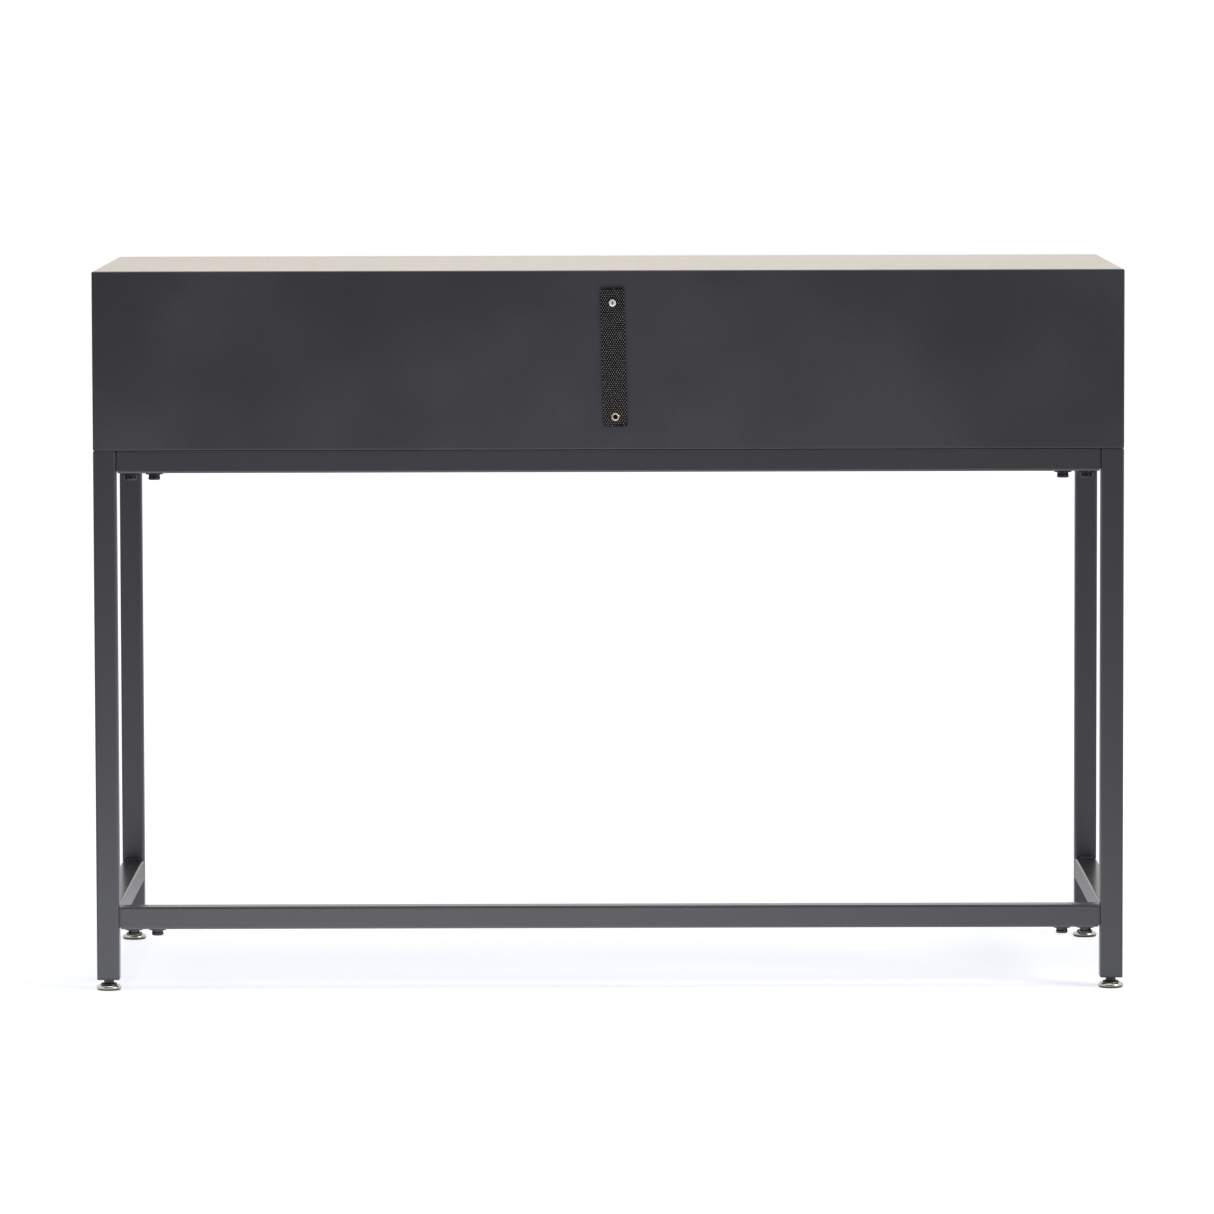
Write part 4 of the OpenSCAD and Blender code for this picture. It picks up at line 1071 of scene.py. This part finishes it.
def sealed_end(tree, end_y, outwards, seed):
    """A melted ridge across the strap at end_y, and the hairs that curl from it."""
    ridge_half = RIDGE_HALF_MM * MM
    bar = fine_line(tree, (-ridge_half, end_y, 0), (ridge_half, end_y, 0), 64)
    position = add(tree, "GeometryNodeInputPosition")
    lumps = add(
        tree,
        "ShaderNodeTexNoise",
        {"Vector": position, "W": float(seed), "Scale": LUMPS_PER_METRE, "Detail": 2.0},
        noise_dimensions="4D",
    )
    wander = lumps.outputs["Color"]
    for operation, amount in (
        ("SUBTRACT", (0.5, 0.5, 0.42)), ("MULTIPLY", (0, 2.2 * MM, 1.5 * MM))
    ):
        wander = add(tree, "ShaderNodeVectorMath", {0: wander, 1: amount}, operation=operation)
    bar = add(tree, "GeometryNodeSetPosition", {"Geometry": bar, "Offset": wander})
    girth = add(
        tree,
        "ShaderNodeMapRange",
        {"Value": lumps, "From Min": 0.3, "From Max": 0.7, "To Min": 0.5 * MM, "To Max": 0.95 * MM},
    )
    ridge = swelling_tube(tree, bar, girth, 8)
    hairs_per_end = LOOSE_HAIRS // 2
    roots = add(
        tree,
        "GeometryNodeMeshLine",
        {
            "Count": hairs_per_end,
            "Start Location": (-HAIRS_HALF_MM * MM, end_y, 0.2 * MM),
            "Offset": (2 * HAIRS_HALF_MM / hairs_per_end * MM, 0, 0),
        },
    )
    curl = add(
        tree,
        "GeometryNodeCurveQuadraticBezier",
        {
            "Resolution": 7,
            "Start": (0, 0, 0),
            "Middle": (0, 0.9 * outwards * MM, 1.0 * MM),
            "End": (1.2 * MM, 1.5 * outwards * MM, 0.5 * MM),
        },
    )
    spin = add(
        tree,
        "FunctionNodeRandomValue",
        {"Min": (-0.7, -0.4, -0.9), "Max": (0.5, 0.4, 0.9), "Seed": seed},
        data_type="FLOAT_VECTOR",
    )
    reach = add(
        tree, "FunctionNodeRandomValue", {2: 0.4, 3: 1.15, "Seed": seed + 1}, data_type="FLOAT"
    )
    hairs = add(
        tree,
        "GeometryNodeInstanceOnPoints",
        {"Points": roots, "Instance": curl, "Rotation": spin, "Scale": reach},
    )
    hairs = add(tree, "GeometryNodeRealizeInstances", {"Geometry": hairs})
    hair_ring = add(
        tree, "GeometryNodeCurvePrimitiveCircle", {"Resolution": 4, "Radius": HAIR_RADIUS_MM * MM}
    )
    hairs = add(
        tree,
        "GeometryNodeCurveToMesh",
        {"Curve": hairs, "Profile Curve": hair_ring, "Fill Caps": True},
    )
    return ridge, hairs


end_pieces = [
    *sealed_end(tree, END_INSET_MM * MM, -1, 11),
    *sealed_end(tree, WEBBING["Length"] - END_INSET_MM * MM, 1, 23),
]
print("both ends sealed,", LOOSE_HAIRS, "loose hairs")

# %% [markdown]
# The yarn's colour paints a highlight on the crests and shade in the hollows, so it needs to
# know how high a point stands in the weave. That height is kept on the mesh as an attribute.
# Then the strap is grown, hung on its screw by the joint's own place, and leaned towards its
# eyelet's place in the record.

# %% Hang the strap
position = add(tree, "GeometryNodeInputPosition")
height = add(tree, "ShaderNodeSeparateXYZ", {0: position}).outputs["Z"]
height = add(tree, "ShaderNodeMath", {0: height}, operation="ABSOLUTE")
crest = add(
    tree,
    "ShaderNodeMapRange",
    {"Value": height, "From Min": measure["crest from"], "From Max": measure["crest to"]},
)
marked = add(
    tree, "GeometryNodeStoreNamedAttribute", {"Geometry": pierced, "Name": "crest", "Value": crest}
)
whole = joined(tree, (marked, *end_pieces))
strap = grow("webbing_strap", tree, whole, yarn, **WEBBING)

pivot = Vector(next(j["pos_m"] for j in frame["joints"] if j["name"] == "strap_swing"))
eyelet = Vector(next(m["pos_m"] for m in record["mounts"] if m["name"] == "wall_screw_eyelet"))
lean = math.atan2(pivot.x - eyelet.x, pivot.z - eyelet.z)
hang = (
    Matrix.Translation((pivot.x, middle("strap").y, pivot.z))
    @ Matrix.Rotation(lean, 4, "Y")
    @ Matrix.Rotation(math.radians(-90), 4, "X")
    @ Matrix.Translation((0, -screw_y, 0))
)
strap.data.transform(hang)
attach(strap, "wall_strap")
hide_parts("strap")
print(f"strap leans {math.degrees(lean):.2f} degrees, {len(strap.data.polygons)} faces")

# %% [markdown]
# The eyelet is rolled over on both faces of the strap. Its front is a smooth half-round, so a
# thin ring of light runs all the way round it.

# %% Rolled eyelet
BORE_R, FLARE_R, BARREL_R, ROLL_R, FLANGE_R = 2.2, 2.6, 2.7, 3.6, 4.1
ROLL_T, FLANGE_T, EDGE = 0.35, 0.5, 0.1
low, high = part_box("strap_eyelet")
shoulder = (high.y - low.y) / MM - FLANGE_T
crown_r, crown_half = (FLANGE_R + FLARE_R) / 2, (FLANGE_R - FLARE_R) / 2
eyelet_profile = [
    (BORE_R, 0),
    (ROLL_R - EDGE, 0),
    (ROLL_R, EDGE),
    (ROLL_R, ROLL_T),
    (BARREL_R, ROLL_T),
    (BARREL_R, shoulder),
    *(
        (crown_r + crown_half * r, shoulder + FLANGE_T * z)
        for r, z in arc(0, 0, 1.0, 0, 180, 12)
    ),
    (BORE_R, shoulder - FLANGE_T),
]
eyelet_mesh = turned_mesh("rolled_eyelet", eyelet_profile)
outwards = Matrix.Rotation(math.radians(-90), 4, "X")
centre = Vector(((low.x + high.x) / 2, low.y, (low.z + high.z) / 2))
eyelet_mesh.transform(Matrix.Translation(centre) @ outwards)
eyelet_mesh.materials.append(brass)
rolled_eyelet = in_scene("rolled_eyelet", eyelet_mesh)
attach(rolled_eyelet, "wall_strap")
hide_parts("strap_eyelet")
print("eyelet", 2 * FLANGE_R, "mm across")

# %% [markdown]
# ## Adjustable feet
#
# Each foot is a nylon stem with a screw thread, moulded in one with a round collar, and the
# collar sits in a pressed nickel cup, whose wall is rolled over into a round ring. The thread
# is a rule: the surface's radius depends on
# height and angle together, so a flat grid is rolled into a tube whose radius rises and falls
# once for every pitch and shifts by one pitch per turn. A thin nylon pad under the cup keeps
# the metal off the floor, and shows as a dark line below it.

# %% Thread
THREAD = dict(
    Crest=3.97 * MM,
    Core=3.35 * MM,
    Pitch=1.25 * MM,
    Bottom=10.9 * MM,
    Top=43.5 * MM,
    Around=24,
    Rows=220,
)
ROOT_FLAT = 0.07  # flat at the root and at the crest, as a share of the pitch
TIP_RADIUS_MM = 2.6
LAST_ROW = 0.4999  # the grid's first and last rows lie beyond this, and close the ends

tree, size = new_tree("screw_thread", **THREAD)
across = add(tree, "ShaderNodeMath", {0: size["Around"], 1: 1.0}, operation="ADD")
flat_grid = add(
    tree,
    "GeometryNodeMeshGrid",
    {"Size X": 1.0, "Size Y": 1.0, "Vertices X": across, "Vertices Y": size["Rows"]},
)
spot = add(tree, "ShaderNodeSeparateXYZ", {0: add(tree, "GeometryNodeInputPosition")}).outputs
rise = add(tree, "ShaderNodeMath", {0: spot["Y"], 1: 0.5}, operation="ADD")
z = add(
    tree, "ShaderNodeMapRange", {"Value": rise, "To Min": size["Bottom"], "To Max": size["Top"]}
)
flank = z
for operation, amount in (("DIVIDE", size["Pitch"]), ("SUBTRACT", spot["X"]), ("PINGPONG", 0.5)):
    flank = add(tree, "ShaderNodeMath", {0: flank, 1: amount}, operation=operation)
radius = add(
    tree,
    "ShaderNodeMapRange",
    {
        "Value": flank,
        "From Min": ROOT_FLAT,
        "From Max": 0.5 - ROOT_FLAT,
        "To Min": size["Core"],
        "To Max": size["Crest"],
    },
)
below_tip = add(tree, "ShaderNodeMath", {0: size["Top"], 1: z}, operation="SUBTRACT")
chamfer = add(tree, "ShaderNodeMath", {0: below_tip, 1: TIP_RADIUS_MM * MM}, operation="ADD")
from_middle = add(tree, "ShaderNodeMath", {0: spot["Y"]}, operation="ABSOLUTE")
not_end = add(tree, "ShaderNodeMath", {0: from_middle, 1: LAST_ROW}, operation="LESS_THAN")
for operation, amount in (("MINIMUM", chamfer), ("MULTIPLY", not_end)):
    radius = add(tree, "ShaderNodeMath", {0: radius, 1: amount}, operation=operation)
angle = add(tree, "ShaderNodeMath", {0: spot["X"], 1: 2 * math.pi}, operation="MULTIPLY")
place_on_tube = {"Z": z}
for axis, operation in (("X", "COSINE"), ("Y", "SINE")):
    share = add(tree, "ShaderNodeMath", {0: angle}, operation=operation)
    place_on_tube[axis] = add(tree, "ShaderNodeMath", {0: radius, 1: share}, operation="MULTIPLY")
rolled = add(tree, "ShaderNodeCombineXYZ", place_on_tube)
tube = add(tree, "GeometryNodeSetPosition", {"Geometry": flat_grid, "Position": rolled})
tube = add(tree, "GeometryNodeMergeByDistance", {"Geometry": tube, "Distance": 1e-6})
thread = grow("screw_thread", tree, tube, nylon, **THREAD)
print("thread of", len(thread.data.polygons), "faces")

# %% Collar, neck and cup
PAD_T, CUP_FLOOR = 1.2, 1.8
RING_R, RING_TUBE_R = 10.65, 2.8

collar_profile = [
    (0, CUP_FLOOR),
    *arc(7.3, 3.2, 1.4, -90, 0, 5),
    *arc(7.3, 6.0, 1.4, 0, 90, 5),
    *arc(6.1, 8.2, 0.8, 270, 180, 4),
    *arc(4.7, 10.7, 0.6, 0, 90, 4),
    (0, 11.3),
]
pad_profile = [(0, 0), (11.8, 0), (12.2, 0.3), (12.3, PAD_T), (0, PAD_T)]
cup_profile = [
    (0, PAD_T),
    *arc(RING_R, RING_TUBE_R, RING_TUBE_R, -34.8, 112, 22),
    *arc(9.3, 5.1, 0.5, 60, 180, 5),
    (8.8, CUP_FLOOR),
    (0, CUP_FLOOR),
]
collar_mesh = turned_mesh("collar", collar_profile)
pad_mesh = turned_mesh("pad", pad_profile)
cup_mesh = turned_mesh("cup", cup_profile)
print("cup", 2 * (RING_R + RING_TUBE_R), "mm across")

# %% Place the four feet
thread_mesh = thread.data
bpy.data.objects.remove(thread)
for foot in ("front_left", "front_right", "back_left", "back_right"):
    body = foot + "_glide"
    cup = middle(body + "_cup")
    axis = Matrix.Translation((cup.x, cup.y, 0))
    stem = bmesh.new()
    for part in (thread_mesh, collar_mesh, pad_mesh):
        stem.from_mesh(part)
    stem_mesh = bpy.data.meshes.new(body + "_stem_turned")
    stem.to_mesh(stem_mesh)
    stem.free()
    for mesh, finish, slot, node in (
        (stem_mesh, nylon, "black_plastic", "_stem"),
        (cup_mesh.copy(), nickel_plate, "nickel_plate", "_cup"),
    ):
        mesh.transform(axis)
        mesh.materials.clear()
        mesh.materials.append(finish)
        piece = in_scene(body + node + "_turned", mesh)
        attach(piece, body)
        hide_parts(body + node)
print("four feet placed")

# %% [markdown]
# ## Weld beads
#
# The side rails are welded to the legs. A weld in an inside corner is a small bead, and the
# welder's wire leaves overlapping ripples in it, like a row of coins pushed over. The outer
# faces are ground flat before painting, so beads only show above and below the rails. Each
# bead is a short curve across the rail whose radius follows a saw-toothed ripple.

# %% Ripple-welded corners
BEAD = dict(Length=17.0 * MM, Radius=1.7 * MM, Ripple=1.5 * MM)
RIPPLE_LOW = 0.84  # the radius just before the next coin, as a share of the full one
TAPER_FROM, TAPER_TO = 0.8, 0.35  # where the bead starts to narrow, and its radius at the end

tree, size = new_tree("weld_bead", **BEAD)
half = add(tree, "ShaderNodeMath", {0: size["Length"], 1: 0.5}, operation="MULTIPLY")
start = add(tree, "ShaderNodeMath", {0: half, 1: -1.0}, operation="MULTIPLY")
line = fine_line(
    tree,
    add(tree, "ShaderNodeCombineXYZ", {"X": start}),
    add(tree, "ShaderNodeCombineXYZ", {"X": half}),
    72,
)
position = add(tree, "GeometryNodeInputPosition")
where = add(tree, "ShaderNodeSeparateXYZ", {0: position}).outputs["X"]
coins = add(tree, "ShaderNodeMath", {0: where, 1: size["Ripple"]}, operation="DIVIDE")
coins = add(tree, "ShaderNodeMath", {0: coins}, operation="FRACT")
swell = add(tree, "ShaderNodeMapRange", {"Value": coins, "To Min": 1.0, "To Max": RIPPLE_LOW})
outwards = add(tree, "ShaderNodeMath", {0: where}, operation="ABSOLUTE")
outwards = add(tree, "ShaderNodeMath", {0: outwards, 1: half}, operation="DIVIDE")
girth = add(
    tree,
    "ShaderNodeMapRange",
    {"Value": outwards, "From Min": TAPER_FROM, "To Min": 1.0, "To Max": TAPER_TO},
    interpolation_type="SMOOTHSTEP",
)
for factor in (swell, size["Radius"]):
    girth = add(tree, "ShaderNodeMath", {0: girth, 1: factor}, operation="MULTIPLY")
bead = swelling_tube(tree, line, girth, 12)
one_bead = grow("weld_beads", tree, bead, powder_coat, **BEAD)
bead_mesh = one_bead.data
print("one bead has", len(bead_mesh.polygons), "faces")

# %% Beads in the corners
corners = []
for side in ("left", "right"):
    for rail, faces in (("top", (0,)), ("lower", (0, 1))):
        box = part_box(f"{side}_{rail}_side_rail")
        middle_x = (box[0].x + box[1].x) / 2
        corners += [Vector((middle_x, end.y, box[face].z)) for end in box for face in faces]
all_beads = bmesh.new()
for corner in corners:
    one = bead_mesh.copy()
    one.transform(Matrix.Translation(corner))
    all_beads.from_mesh(one)
    bpy.data.meshes.remove(one)
all_beads.to_mesh(bead_mesh)
all_beads.free()
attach(one_bead, "desk")
print(len(corners), "weld beads")

# %% [markdown]
# ## Sizes
#
# The size of the dressed desk is measured over its shown pieces and printed.

# %% Measure the dressed size
low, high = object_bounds()
print("dressed size", [round(v / MM, 1) for v in high - low])
